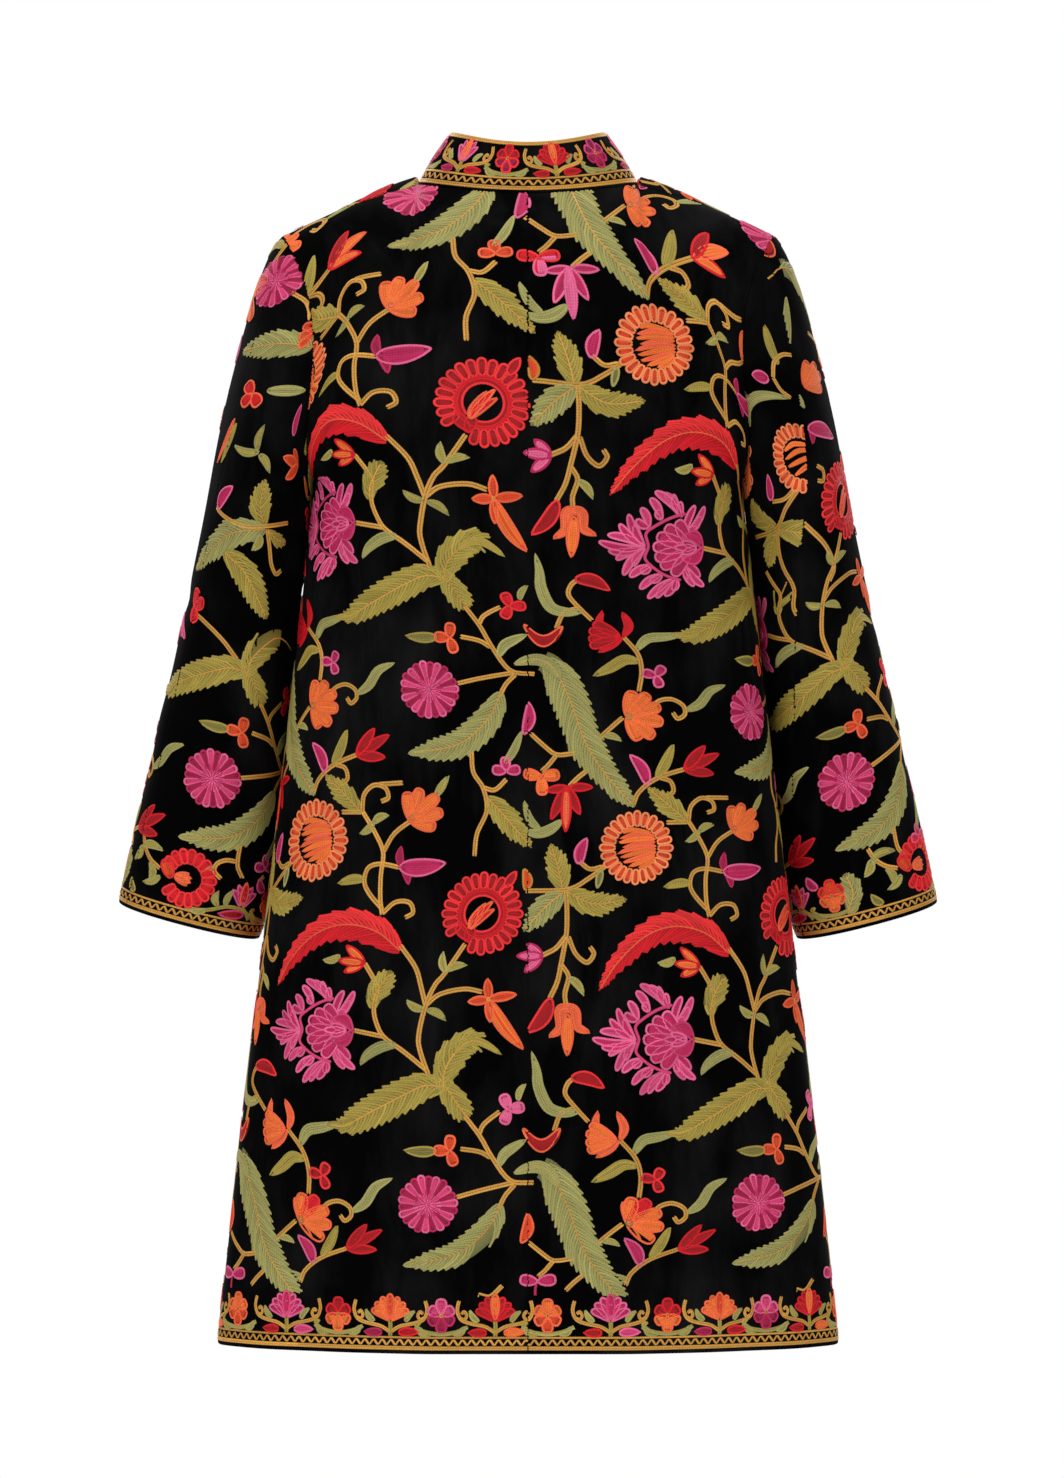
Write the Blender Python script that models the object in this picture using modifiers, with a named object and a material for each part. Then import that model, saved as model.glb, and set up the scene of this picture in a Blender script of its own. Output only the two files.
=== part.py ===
"""A long velvet coat, hollow as it hangs when worn: two back panels, two fronts, two-piece sleeves
and a stand collar. Metres, +Z up. The back of the coat faces -Y and its open front faces +Y."""

import math

import bpy

# Driving sizes
WALL = 0.0024  # velvet with its lining
SEAM_GAP = 0.0003
CENTRE_GAP = 0.0006  # half of the slit between the two fronts
CHEST_HEIGHT = -0.225  # where the armholes begin, below the neck line
SHOULDER_TIP = (0.2030, -0.0130, -0.0215)
ARMHOLE_DROP = CHEST_HEIGHT - SHOULDER_TIP[2]
ARMHOLE_DEPTH = {-1: 0.0600, 1: 0.0640}  # how far it reaches to the back and to the front
ARMHOLE_INSET = 0.1700  # half of the width across the back
ARMHOLE_SWELL = 0.0080  # how far its lower bend stands out again
NECK_HALF_WIDTH = 0.0915
NECK_REACH = {-1: -0.0620, 1: 0.0860}  # centre back and centre front
NECK_SIDE = (-0.0050, 0.0215)  # depth and height of the neck point
NECK_HEIGHT = {-1: 0.0110, 1: -0.0380}  # centre back and centre front
COLLAR_HALF_WIDTH = 0.0635
COLLAR_REACH = {-1: -0.0545, 1: 0.0700}
COLLAR_SIDE = (-0.0020, 0.0655)
COLLAR_HEIGHT = {-1: 0.0535, 1: 0.0020}
COLLAR_GAP = 0.0005
COLLAR_BULGE = 0.0016
COLLAR_SLIT = 0.0150  # half of the gap at its front, as a share of a quarter of the collar
SHOULDER_BOW = 0.0042  # how far the shoulder seam rises over a straight line
SHOULDER_TURN = {-1: math.radians(74), 1: math.radians(106)}  # the seam lies behind the ridge
NECK_TURN = {-1: math.radians(58), 1: math.radians(52)}

# Body sections, from the hem up to the chest
BODY_COLUMNS = ("height", "half_width", "back", "front", "squareness")
BODY = (
    (-0.9360, 0.2568, 0.1310, 0.1290, 2.40),
    (-0.7800, 0.2400, 0.1245, 0.1225, 2.40),
    (-0.5850, 0.2172, 0.1160, 0.1150, 2.36),
    (-0.4000, 0.1960, 0.1100, 0.1120, 2.32),
    (CHEST_HEIGHT, 0.1770, 0.1130, 0.1230, 2.30),
)
# Soft folds of the skirt: place on the half girth, width of the fold, depth at the hem, where it fades
FOLD_COLUMNS = ("place", "width", "depth", "top")
FOLDS = {
    -1: ((0.20, 0.075, 0.0030, -0.42), (0.47, 0.090, -0.0036, -0.50), (0.80, 0.085, 0.0042, -0.36)),
    1: ((0.16, 0.080, 0.0034, -0.46), (0.44, 0.085, -0.0038, -0.40), (0.74, 0.090, 0.0044, -0.52)),
}
# Sleeve rings, from the cuff up to the arm
SLEEVE_COLUMNS = ("height", "outer", "inner", "middle_y", "half_depth", "squareness")
SLEEVE = (
    (-0.5885, 0.3424, 0.2246, 0.0440, 0.0450, 2.20),
    (-0.5500, 0.3334, 0.2140, 0.0410, 0.0468, 2.20),
    (-0.5200, 0.3270, 0.2098, 0.0385, 0.0480, 2.20),
    (-0.4500, 0.3090, 0.2020, 0.0325, 0.0520, 2.15),
    (-0.3400, 0.2856, 0.1903, 0.0230, 0.0590, 2.10),
    (-0.2500, 0.2665, 0.1814, 0.0090, 0.0640, 2.00),
)
SLEEVE_TILT = 0.258  # the cuff's slope to the inner side
SLEEVE_LEAN = 0.100  # and to the back, as the arm reaches forward
CAP_SHARE = 0.34  # of a sleeve's rows lie above the arm's first ring
CAP_SLOPE = (36, 84)  # degrees below level at the shoulder and under the arm
CAP_REACH = (0.085, 0.047)  # how far the cloth keeps that slope
ARMHOLE_GAP = 0.0013  # the two walls meet at an angle
CAP_SEAM_GAP = 0.0010  # the sleeve's own seams, where they reach the armhole's corners
# Where the back seam of each sleeve runs, in degrees round it from the outer side towards the back
SEAM_COLUMNS = ("share", "right", "left")
SLEEVE_SEAM = (
    (0.00, 30.0, 30.0),
    (0.20, 58.0, 35.0),
    (0.40, 96.0, 36.0),
    (0.65, 124.0, 34.0),
    (1.00, 152.0, 32.0),
)
FOREARM_SEAM = 225.0
# Creases of the sleeve: place in degrees, width in degrees, share of its length, reach along it, depth
CREASE_COLUMNS = ("angle", "spread", "share", "reach", "depth")
CREASES = (
    (128.0, 26.0, 0.36, 0.060, -0.0045),
    (70.0, 34.0, 0.52, 0.050, -0.0032),
    (150.0, 30.0, 0.62, 0.055, -0.0040),
    (262.0, 32.0, 0.50, 0.060, -0.0048),
    (20.0, 26.0, 0.70, 0.060, 0.0030),
)

PANEL_COLUMNS = 14
NECK_COLUMNS = 6  # of these end at the neck line
SKIRT_ROWS = 12
RISE_ROWS = 12  # from the chest up to the shoulder
ARMHOLE_STEP = math.pi / RISE_ROWS
SLEEVE_COLUMNS_OF = {"upper": 22, "under": 13}  # they meet the armhole at its steps
SLEEVE_ROWS = 17
COLLAR_ROWS = 3
SEAM_CELL = 0.007  # a narrow cell along each seam, as a share of the piece
VELVET = (0.012, 0.011, 0.013, 1.0)


def value_at(table, columns, name, at):
    """A column's value, on one smooth curve through the table's rows. The first column is the place."""
    places = [row[0] for row in table]
    values = [row[columns.index(name)] for row in table]
    last = len(places) - 1
    at = min(max(at, places[0]), places[-1])
    i = max(k for k in range(last) if places[k] <= at)
    steps = [(values[k + 1] - values[k]) / (places[k + 1] - places[k]) for k in range(last)]

    def slope(k):
        return steps[max(k - 1, 0)] / 2 + steps[min(k, last - 1)] / 2

    span = places[i + 1] - places[i]
    t = (at - places[i]) / span
    return (
        values[i] * (1 + 2 * t) * (1 - t) ** 2
        + values[i + 1] * t * t * (3 - 2 * t)
        + span * (slope(i) * t * (1 - t) ** 2 + slope(i + 1) * t * t * (t - 1))
    )


def spaced(step, cells):
    """Where a grid line lies, from 0 to 1: even cells, with one more line close to each end."""
    if step in (0, 1):
        return step * SEAM_CELL
    if step in (cells + 1, cells + 2):
        return 1 - (cells + 2 - step) * SEAM_CELL
    return (step - 1) / cells


def smooth_step(low, high, at):
    t = min(max((at - low) / (high - low), 0.0), 1.0)
    return t * t * (3 - 2 * t)


def oval(turn, power):
    """A point of a rounded square of half-width 1, at an angle from its y axis."""
    x, y = math.sin(turn), math.cos(turn)
    size = (abs(x) ** power + abs(y) ** power) ** (1 / power)
    return x / size, y / size


def body_section(face, share, height):
    """A point of the skirt's outside. face is -1 for the back and 1 for the front; share runs round it
    from the centre to the side seam."""
    half_width = value_at(BODY, BODY_COLUMNS, "half_width", height)
    depth = value_at(BODY, BODY_COLUMNS, "back" if face < 0 else "front", height)
    power = value_at(BODY, BODY_COLUMNS, "squareness", height)
    x, y = oval(share * math.pi / 2, power)
    x, y = half_width * x, depth * y
    push = 0.0
    for place, width, fold, top in FOLDS[face]:
        fade = smooth_step(top, BODY[0][0], height)
        push += fold * fade * math.exp(-(((share - place) / width) ** 2))
    push *= smooth_step(0.0, 0.08, share) * smooth_step(1.0, 0.92, share)
    away = math.hypot(x / half_width**2, y / depth**2)
    return x + push * x / half_width**2 / away, face * (y + push * y / depth**2 / away)


def neck_point(face, turn):
    """The neck line at an angle from the centre, where turn is 0, to the neck point at the side."""
    y = NECK_SIDE[0] + (NECK_REACH[face] - NECK_SIDE[0]) * math.cos(turn)
    fall = abs(math.cos(turn)) ** (2.0 if face < 0 else 2.5)
    return NECK_HALF_WIDTH * math.sin(turn), y, NECK_SIDE[1] + (NECK_HEIGHT[face] - NECK_SIDE[1]) * fall


def top_edge(face, share):
    """The neck line and then the shoulder seam, with the angle through which the cloth has turned."""
    neck_share = NECK_COLUMNS / PANEL_COLUMNS
    if share <= neck_share:
        along = share / neck_share
        turn = NECK_TURN[face] + (SHOULDER_TURN[face] - NECK_TURN[face]) * along**2
        return (*neck_point(face, along * math.pi / 2), turn)
    along = (share - neck_share) / (1 - neck_share)
    start = neck_point(face, math.pi / 2)
    point = [a + (b - a) * along for a, b in zip(start, SHOULDER_TIP)]
    point[2] += SHOULDER_BOW * math.sin(math.pi * along)
    return (*point, SHOULDER_TURN[face])


def armhole_curve(face, turn):
    upper, lower = (1 + math.cos(turn)) / 2, (1 - math.cos(turn)) / 2
    under_arm = BODY[-1][1]
    x = ARMHOLE_INSET + (SHOULDER_TIP[0] - ARMHOLE_INSET) * upper**4
    x += (under_arm - ARMHOLE_INSET) * lower**3 + ARMHOLE_SWELL * math.sin(math.pi * lower**3)
    y = SHOULDER_TIP[1] * upper + face * ARMHOLE_DEPTH[face] * max(math.sin(turn), 0.0) ** 0.9
    return x, y, SHOULDER_TIP[2] + ARMHOLE_DROP * lower


def armhole(face, turn):
    """The armhole's edge, in the steps that the panels and the sleeve share. turn is 0 at the shoulder
    tip and half a turn under the arm."""
    step = min(int(turn / ARMHOLE_STEP + 1e-6), RISE_ROWS - 1)
    if step == 0:
        return armhole_curve(face, turn)
    part = turn / ARMHOLE_STEP - step
    start, end = (armhole_curve(face, ARMHOLE_STEP * k) for k in (step, step + 1))
    return tuple(a + (b - a) * part for a, b in zip(start, end))


def rise(face, share, along):
    """A point over the chest on the way up to the neck line or the shoulder seam."""
    x_low, y_low = body_section(face, share, CHEST_HEIGHT)
    x_high, y_high, z_high, end = top_edge(face, share)
    turn = along * end
    up = math.sin(turn) / math.sin(end)
    over = ((1 - math.cos(turn)) / (1 - math.cos(end))) ** 1.2
    x = x_low + (x_high - x_low) * smooth_step(0, 1, along)
    return x, y_low + (y_high - y_low) * over, CHEST_HEIGHT + (z_high - CHEST_HEIGHT) * up


def panel_point(face, share, up):
    """A point of a body panel's outside, on the coat's right: share runs from its centre to its side
    seam or armhole, and up from the hem to the neck line and shoulder."""
    chest = SKIRT_ROWS / (SKIRT_ROWS + RISE_ROWS)
    if up <= chest:
        height = BODY[0][0] + (CHEST_HEIGHT - BODY[0][0]) * up / chest
        return (*body_section(face, share, height), height)
    along = (up - chest) / (1 - chest)
    point = rise(face, share, along)
    plain = rise(face, 1.0, along)
    edge = armhole(face, math.pi * (1 - along))
    pull = smooth_step(0.35, 1.0, share) ** 1.5
    return tuple(p + pull * (e - q) for p, e, q in zip(point, edge, plain))


def sleeve_ring(turn, height):
    """A point of the sleeve's outside below the arm. turn is 0 on the outer side and grows to the back."""
    outer = value_at(SLEEVE, SLEEVE_COLUMNS, "outer", height)
    inner = value_at(SLEEVE, SLEEVE_COLUMNS, "inner", height)
    depth = value_at(SLEEVE, SLEEVE_COLUMNS, "half_depth", height)
    middle_y = value_at(SLEEVE, SLEEVE_COLUMNS, "middle_y", height)
    back, out = oval(turn, value_at(SLEEVE, SLEEVE_COLUMNS, "squareness", height))
    x = (outer + inner) / 2 + (outer - inner) / 2 * out
    tilt = SLEEVE_TILT * (x - (outer + inner) / 2) - SLEEVE_LEAN * depth * back
    return x, middle_y - depth * back, height + tilt


def sleeve_point(turn, share):
    """A point of a sleeve's outside, on the coat's right, from the armhole at share 0 to the cuff at 1."""
    first, last = SLEEVE[-1][0], SLEEVE[0][0]
    if share >= CAP_SHARE:
        height = first + (last - first) * (share - CAP_SHARE) / (1 - CAP_SHARE)
        point = sleeve_ring(turn, height)
    else:
        t = share / CAP_SHARE
        turned = turn % (2 * math.pi)
        face = -1 if turned <= math.pi else 1
        start = armhole(face, turned if face < 0 else 2 * math.pi - turned)
        start = (start[0] + ARMHOLE_GAP, start[1], start[2])
        end, below = sleeve_ring(turn, first), sleeve_ring(turn, first - 0.01)
        way = math.dist(start, end)
        lower = (1 - math.cos(turn)) / 2
        slope = math.radians(CAP_SLOPE[0] + (CAP_SLOPE[1] - CAP_SLOPE[0]) * lower**2)
        reach = CAP_REACH[0] + (CAP_REACH[1] - CAP_REACH[0]) * lower
        leave = (reach * math.cos(slope), 0.0, -reach * math.sin(slope))
        arrive = [(b - a) / 0.01 * way for a, b in zip(end, below)]
        point = tuple(
            a * (1 + 2 * t) * (1 - t) ** 2 + b * t * t * (3 - 2 * t) + u * t * (1 - t) ** 2 + v * t * t * (t - 1)
            for a, b, u, v in zip(start, end, leave, arrive)
        )
    push = 0.0
    for angle, spread, place, reach, depth in CREASES:
        off = (math.degrees(turn) - angle + 180) % 360 - 180
        push += depth * math.exp(-((off / spread) ** 2) - ((share - place) / reach) ** 2)
    return (
        point[0] + push * math.cos(turn),
        point[1] - push * math.sin(turn),
        point[2],
    )


def collar_point(face, along, up):
    """A point of the collar's outside, on the coat's right. along runs from its centre to the side."""
    turn = along * math.pi / 2
    start = neck_point(face, turn)
    level = abs(math.cos(turn))
    end = (
        COLLAR_HALF_WIDTH * math.sin(turn),
        COLLAR_SIDE[0] + (COLLAR_REACH[face] - COLLAR_SIDE[0]) * level,
        COLLAR_SIDE[1] + (COLLAR_HEIGHT[face] - COLLAR_SIDE[1]) * level**2,
    )
    lift = COLLAR_GAP / math.dist(start, end)
    up = lift + (1 - lift) * up
    bulge = COLLAR_BULGE * math.sin(math.pi * up)
    x, y, z = (a + (b - a) * up for a, b in zip(start, end))
    away = math.hypot(x, y)
    return x + bulge * x / away, y + bulge * y / away, z


def cloth(name, columns, rows, place, mirrored=False):
    """A grid moved to its place on the coat and given the wall's thickness inwards."""
    bpy.ops.mesh.primitive_grid_add(x_subdivisions=columns, y_subdivisions=rows, size=1)
    piece = bpy.context.object
    piece.name = piece.data.name = name
    for vertex in piece.data.vertices:
        x, y, z = place(round((vertex.co.x + 0.5) * columns), round((vertex.co.y + 0.5) * rows))
        vertex.co = (-x if mirrored else x, y, z)
    if mirrored:
        piece.data.flip_normals()
    wall = piece.modifiers.new("Wall", "SOLIDIFY")
    wall.thickness = WALL
    wall.offset = -1
    material = bpy.data.materials.new(name)
    material.use_nodes = True
    finish = material.node_tree.nodes["Principled BSDF"]
    finish.inputs["Base Color"].default_value = VELVET
    finish.inputs["Roughness"].default_value = 0.9
    piece.data.materials.append(material)
    piece.data.shade_smooth()


def inset(place, across, gap_before, gap_after):
    """The share across a piece, from 0 to 1, kept this far from each of its two seams."""
    before = gap_before / math.dist(place(0.0), place(0.001)) * 0.001
    after = gap_after / math.dist(place(0.999), place(1.0)) * 0.001
    return before + across * (1 - before - after)


def body_panels():
    rows = SKIRT_ROWS + RISE_ROWS
    for side, mirrored in (("right", False), ("left", True)):
        for face, word, centre in ((-1, "back", SEAM_GAP / 2), (1, "front", CENTRE_GAP)):

            def place(column, row, face=face, centre=centre):
                across, up = spaced(column, PANEL_COLUMNS), spaced(row, rows)
                across = across if face < 0 else 1 - across
                share = inset(lambda at: panel_point(face, at, up), across, centre, SEAM_GAP / 2)
                x, y, z = panel_point(face, share, up)
                return x, y + face * SEAM_GAP / 2 * smooth_step(SKIRT_ROWS / rows, 1, up), z

            cloth(f"{word}_{side}", PANEL_COLUMNS + 2, rows + 2, place, mirrored)


def sleeve_panels():
    for side, mirrored in (("right", False), ("left", True)):

        def seams(share, side=side):
            back = math.radians(value_at(SLEEVE_SEAM, SEAM_COLUMNS, side, share))
            front = math.radians(FOREARM_SEAM)
            return {"upper": (front - 2 * math.pi, back), "under": (back, front)}

        for piece, columns in SLEEVE_COLUMNS_OF.items():

            def place(column, row, piece=piece, columns=columns, seams=seams):
                across, down = spaced(column, columns), 1 - row / SLEEVE_ROWS
                start, end = seams(down)[piece]

                def around(at):
                    return sleeve_point(start + (end - start) * at, down)

                gap = SEAM_GAP + (CAP_SEAM_GAP - SEAM_GAP) * smooth_step(CAP_SHARE, 0, down)
                return around(inset(around, 1 - across, gap / 2, gap / 2))

            cloth(f"sleeve_{side}_{piece}", columns + 2, SLEEVE_ROWS, place, mirrored)


def collar():
    quarter = NECK_COLUMNS + 1

    def place(column, row):
        """Its columns are those of the panels below, from the left front edge round the back."""
        step = column - 2 * quarter
        face, inner = (-1, abs(step)) if abs(step) <= quarter else (1, 2 * quarter - abs(step))
        along = spaced(inner, PANEL_COLUMNS) / (NECK_COLUMNS / PANEL_COLUMNS)
        if face > 0:
            along = max(along, COLLAR_SLIT)
        x, y, z = collar_point(face, along, row / COLLAR_ROWS)
        return math.copysign(x, step) if step else x, y, z

    cloth("collar", 4 * quarter, COLLAR_ROWS, place)


def main():
    for thing in list(bpy.data.objects):
        bpy.data.objects.remove(thing)
    body_panels()
    sleeve_panels()
    collar()
    coat = bpy.data.collections.new("velvet_coat")
    bpy.context.scene.collection.children.link(coat)
    for thing in list(bpy.data.objects):
        for old in list(thing.users_collection):
            old.objects.unlink(thing)
        coat.objects.link(thing)


main()
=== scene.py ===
# %% [markdown]
# A long velvet coat, embroidered all over with flowers, leaves and branching stems. The imported model gives its nine
# cut pieces as plain walls. Here each becomes a finer sheet of velvet on the same form, and the embroidery is stitched
# on it, row by row, from a drawn chart of one repeat.

# %% The frame
import math

import bpy
import numpy as np
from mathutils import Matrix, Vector


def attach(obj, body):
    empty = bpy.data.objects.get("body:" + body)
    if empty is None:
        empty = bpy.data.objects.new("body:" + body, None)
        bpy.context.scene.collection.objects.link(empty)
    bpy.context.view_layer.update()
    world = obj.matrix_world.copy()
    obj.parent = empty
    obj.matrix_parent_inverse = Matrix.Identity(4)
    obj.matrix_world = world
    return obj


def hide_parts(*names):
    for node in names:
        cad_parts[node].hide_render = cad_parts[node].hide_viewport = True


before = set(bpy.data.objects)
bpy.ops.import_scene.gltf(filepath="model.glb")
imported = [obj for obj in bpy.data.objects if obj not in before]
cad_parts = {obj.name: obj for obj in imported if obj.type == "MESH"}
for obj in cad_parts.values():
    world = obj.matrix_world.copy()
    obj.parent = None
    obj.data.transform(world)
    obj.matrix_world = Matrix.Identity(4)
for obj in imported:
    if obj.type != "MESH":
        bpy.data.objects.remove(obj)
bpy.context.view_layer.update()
scene = bpy.context.scene
bpy.ops.object.select_all(action="DESELECT")
print("nodes", ", ".join(sorted(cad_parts)))

# %% [markdown]
# The camera comes first, because every look depends on it. The photo was taken from straight behind the
# coat at the height of its middle, with a long lens, so the hem curves only a little.

# %% Camera
PHOTO = (1064, 1478)
MM_PER_PIXEL = 0.83
CAMERA_AWAY = 5.5
eye = bpy.data.cameras.new("eye")
camera = bpy.data.objects.new("camera", eye)
scene.collection.objects.link(camera)
camera.location = (0.0033, -CAMERA_AWAY, -0.4374)
camera.rotation_euler = (math.radians(90), 0, 0)
eye.sensor_width = 36
eye.lens = 36 * CAMERA_AWAY / (PHOTO[1] * MM_PER_PIXEL / 1000)
eye.clip_end = 60
scene.camera = camera
scene.view_settings.view_transform = "Standard"
print("lens", round(eye.lens, 1), "mm")

# %% [markdown]
# The room is a round pale floor, well below the hem, in plain white light. A wall behind the coat would
# stand in front of the camera when it goes round to the front, so there is none: rays that meet nothing see
# white, while the same world gives the coat only half that light. Large area lamps do the rest.

# %% Floor and lamps
FLOOR = -1.25
bpy.ops.mesh.primitive_circle_add(vertices=96, radius=1.7, fill_type="NGON", location=(0, 0, 0))
ground = bpy.context.object
ground.name = ground.data.name = "floor"
for v in ground.data.vertices:
    v.co.z = FLOOR
paper = bpy.data.materials.new("paper")
paper.use_nodes = True
paper.node_tree.nodes["Principled BSDF"].inputs["Base Color"].default_value = (0.93, 0.93, 0.93, 1)
paper.node_tree.nodes["Principled BSDF"].inputs["Roughness"].default_value = 0.9
ground.data.materials.append(paper)

LAMPS = (
    # name, place, aim, size, watts
    ("key", (-2.2, -3.6, 1.6), (0, 0, -0.4), 2.2, 84),
    ("fill", (2.6, -3.4, 0.4), (0, 0, -0.5), 2.6, 40),
    ("top", (0.0, -0.2, 3.2), (0, 0, -0.4), 2.4, 60),
    ("front_left", (-2.4, 3.0, 1.6), (0, 0, -0.5), 2.0, 60),
    ("front_right", (2.4, 3.0, 1.2), (0, 0, -0.5), 2.0, 50),
)
for name, place, aim, size, watts in LAMPS:
    lamp = bpy.data.lights.new(name, "AREA")
    lamp.size, lamp.energy = size, watts
    thing = bpy.data.objects.new(name, lamp)
    scene.collection.objects.link(thing)
    thing.location = place
    thing.rotation_euler = (Vector(aim) - Vector(place)).to_track_quat("-Z", "Y").to_euler()
world = bpy.data.worlds.new("studio")
world.use_nodes = True
nodes, links = world.node_tree.nodes, world.node_tree.links
light = nodes["Background"]
light.inputs["Color"].default_value = (1, 1, 1, 1)
light.inputs["Strength"].default_value = 0.50
seen_white = nodes.new("ShaderNodeBackground")
seen_white.inputs["Color"].default_value = (1, 1, 1, 1)
ray, mix = nodes.new("ShaderNodeLightPath"), nodes.new("ShaderNodeMixShader")
links.new(ray.outputs["Is Camera Ray"], mix.inputs[0])
links.new(light.outputs[0], mix.inputs[1])
links.new(seen_white.outputs[0], mix.inputs[2])
links.new(mix.outputs[0], nodes["World Output"].inputs["Surface"])
scene.world = world
print("lamps", ", ".join(lamp[0] for lamp in LAMPS))

# %% [markdown]
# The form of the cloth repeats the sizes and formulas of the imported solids, so each sheet lies where its
# solid is. They are written for whole arrays of points, because the sheets are much finer.

# %% Sizes of the coat, metres
WALL = 0.0024
SEAM_GAP = -0.0003  # shown closed, as it is sewn
CENTRE_GAP = 0.0003
CHEST_HEIGHT = -0.225
SHOULDER_TIP = (0.2030, -0.0130, -0.0215)
ARMHOLE_DROP = CHEST_HEIGHT - SHOULDER_TIP[2]
ARMHOLE_DEPTH = {-1: 0.0600, 1: 0.0640}
ARMHOLE_INSET, ARMHOLE_SWELL = 0.1700, 0.0080
NECK_HALF_WIDTH = 0.0915
NECK_REACH = {-1: -0.0620, 1: 0.0860}
NECK_SIDE = (-0.0050, 0.0215)
NECK_HEIGHT = {-1: 0.0110, 1: -0.0380}
COLLAR_HALF_WIDTH = 0.0635
COLLAR_REACH = {-1: -0.0545, 1: 0.0700}
COLLAR_SIDE = (-0.0020, 0.0655)
COLLAR_HEIGHT = {-1: 0.0535, 1: 0.0020}
COLLAR_GAP, COLLAR_BULGE, COLLAR_SLIT = 0.0001, 0.0016, 0.0120
SHOULDER_BOW = 0.0042
SHOULDER_TURN = {-1: math.radians(74), 1: math.radians(106)}
NECK_TURN = {-1: math.radians(58), 1: math.radians(52)}
NECK_SHARE = 6 / 14
BODY = (  # height, half_width, back, front, squareness
    (-0.9360, 0.2568, 0.1310, 0.1290, 2.40),
    (-0.7800, 0.2400, 0.1245, 0.1225, 2.40),
    (-0.5850, 0.2172, 0.1160, 0.1150, 2.36),
    (-0.4000, 0.1960, 0.1100, 0.1120, 2.32),
    (CHEST_HEIGHT, 0.1770, 0.1130, 0.1230, 2.30),
)
FOLDS = {  # place, width, depth, top
    -1: ((0.20, 0.075, 0.0030, -0.42), (0.47, 0.090, -0.0036, -0.50), (0.80, 0.085, 0.0042, -0.36)),
    1: ((0.16, 0.080, 0.0034, -0.46), (0.44, 0.085, -0.0038, -0.40), (0.74, 0.090, 0.0044, -0.52)),
}
SLEEVE = (  # height, outer, inner, middle_y, half_depth, squareness
    (-0.5885, 0.3424, 0.2246, 0.0440, 0.0450, 2.20),
    (-0.5500, 0.3334, 0.2140, 0.0410, 0.0468, 2.20),
    (-0.5200, 0.3270, 0.2098, 0.0385, 0.0480, 2.20),
    (-0.4500, 0.3090, 0.2020, 0.0325, 0.0520, 2.15),
    (-0.3400, 0.2856, 0.1903, 0.0230, 0.0590, 2.10),
    (-0.2500, 0.2665, 0.1814, 0.0090, 0.0640, 2.00),
)
SLEEVE_TILT, SLEEVE_LEAN, CAP_SHARE = 0.258, 0.100, 0.34
CAP_SLOPE, CAP_REACH = (36, 84), (0.085, 0.047)
ARMHOLE_GAP, CAP_SEAM_GAP = 0.0001, -0.0003
SLEEVE_SEAM = (  # share, right, left
    (0.00, 30.0, 30.0),
    (0.20, 58.0, 35.0),
    (0.40, 96.0, 36.0),
    (0.65, 124.0, 34.0),
    (1.00, 152.0, 32.0),
)
FOREARM_SEAM = 225.0
CREASES = (  # angle, spread, share, reach, depth
    (128.0, 26.0, 0.36, 0.060, -0.0045),
    (70.0, 34.0, 0.52, 0.050, -0.0032),
    (150.0, 30.0, 0.62, 0.055, -0.0040),
    (262.0, 32.0, 0.50, 0.060, -0.0048),
    (20.0, 26.0, 0.70, 0.060, 0.0030),
)
print("hem", round(2 * BODY[0][1], 3), "m wide, chest", round(2 * BODY[-1][1], 3), "m wide")

# %% Curves through the tables
def value_at(rows, column, at):
    """A column's value on one smooth curve through the table's rows; the first column is the place."""
    places = np.array([row[0] for row in rows])
    values = np.array([row[column] for row in rows])
    last = len(places) - 1
    at = np.clip(at, places[0], places[-1])
    i = np.clip(np.searchsorted(places, at, side="right") - 1, 0, last - 1)
    steps = np.diff(values) / np.diff(places)
    slopes = steps[np.maximum(np.arange(last + 1) - 1, 0)] / 2 + steps[np.minimum(np.arange(last + 1), last - 1)] / 2
    span = places[i + 1] - places[i]
    t = (at - places[i]) / span
    return (
        values[i] * (1 + 2 * t) * (1 - t) ** 2
        + values[i + 1] * t * t * (3 - 2 * t)
        + span * (slopes[i] * t * (1 - t) ** 2 + slopes[i + 1] * t * t * (t - 1))
    )


def smooth_step(low, high, at):
    t = np.clip((at - low) / (high - low), 0.0, 1.0)
    return t * t * (3 - 2 * t)


def oval(turn, power):
    x, y = np.sin(turn), np.cos(turn)
    size = (np.abs(x) ** power + np.abs(y) ** power) ** (1 / power)
    return x / size, y / size


# %% The body's form
def body_section(face, share, height):
    half_width = value_at(BODY, 1, height)
    depth = value_at(BODY, 2 if face < 0 else 3, height)
    x, y = oval(share * math.pi / 2, value_at(BODY, 4, height))
    x, y = half_width * x, depth * y
    push = 0.0
    for place, width, fold, top in FOLDS[face]:
        fade = smooth_step(0.0, 1.0, np.clip((top - height) / (top - BODY[0][0]), 0, 1))
        push = push + fold * fade * np.exp(-(((share - place) / width) ** 2))
    push = push * smooth_step(0.0, 0.08, share) * smooth_step(0.0, 0.08, 1 - share)
    away = np.hypot(x / half_width**2, y / depth**2)
    return x + push * x / half_width**2 / away, face * (y + push * y / depth**2 / away)


def neck_point(face, turn):
    level = np.abs(np.cos(turn))
    y = NECK_SIDE[0] + (NECK_REACH[face] - NECK_SIDE[0]) * np.cos(turn)
    z = NECK_SIDE[1] + (NECK_HEIGHT[face] - NECK_SIDE[1]) * level ** (2.0 if face < 0 else 2.5)
    return NECK_HALF_WIDTH * np.sin(turn), y, z


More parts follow.
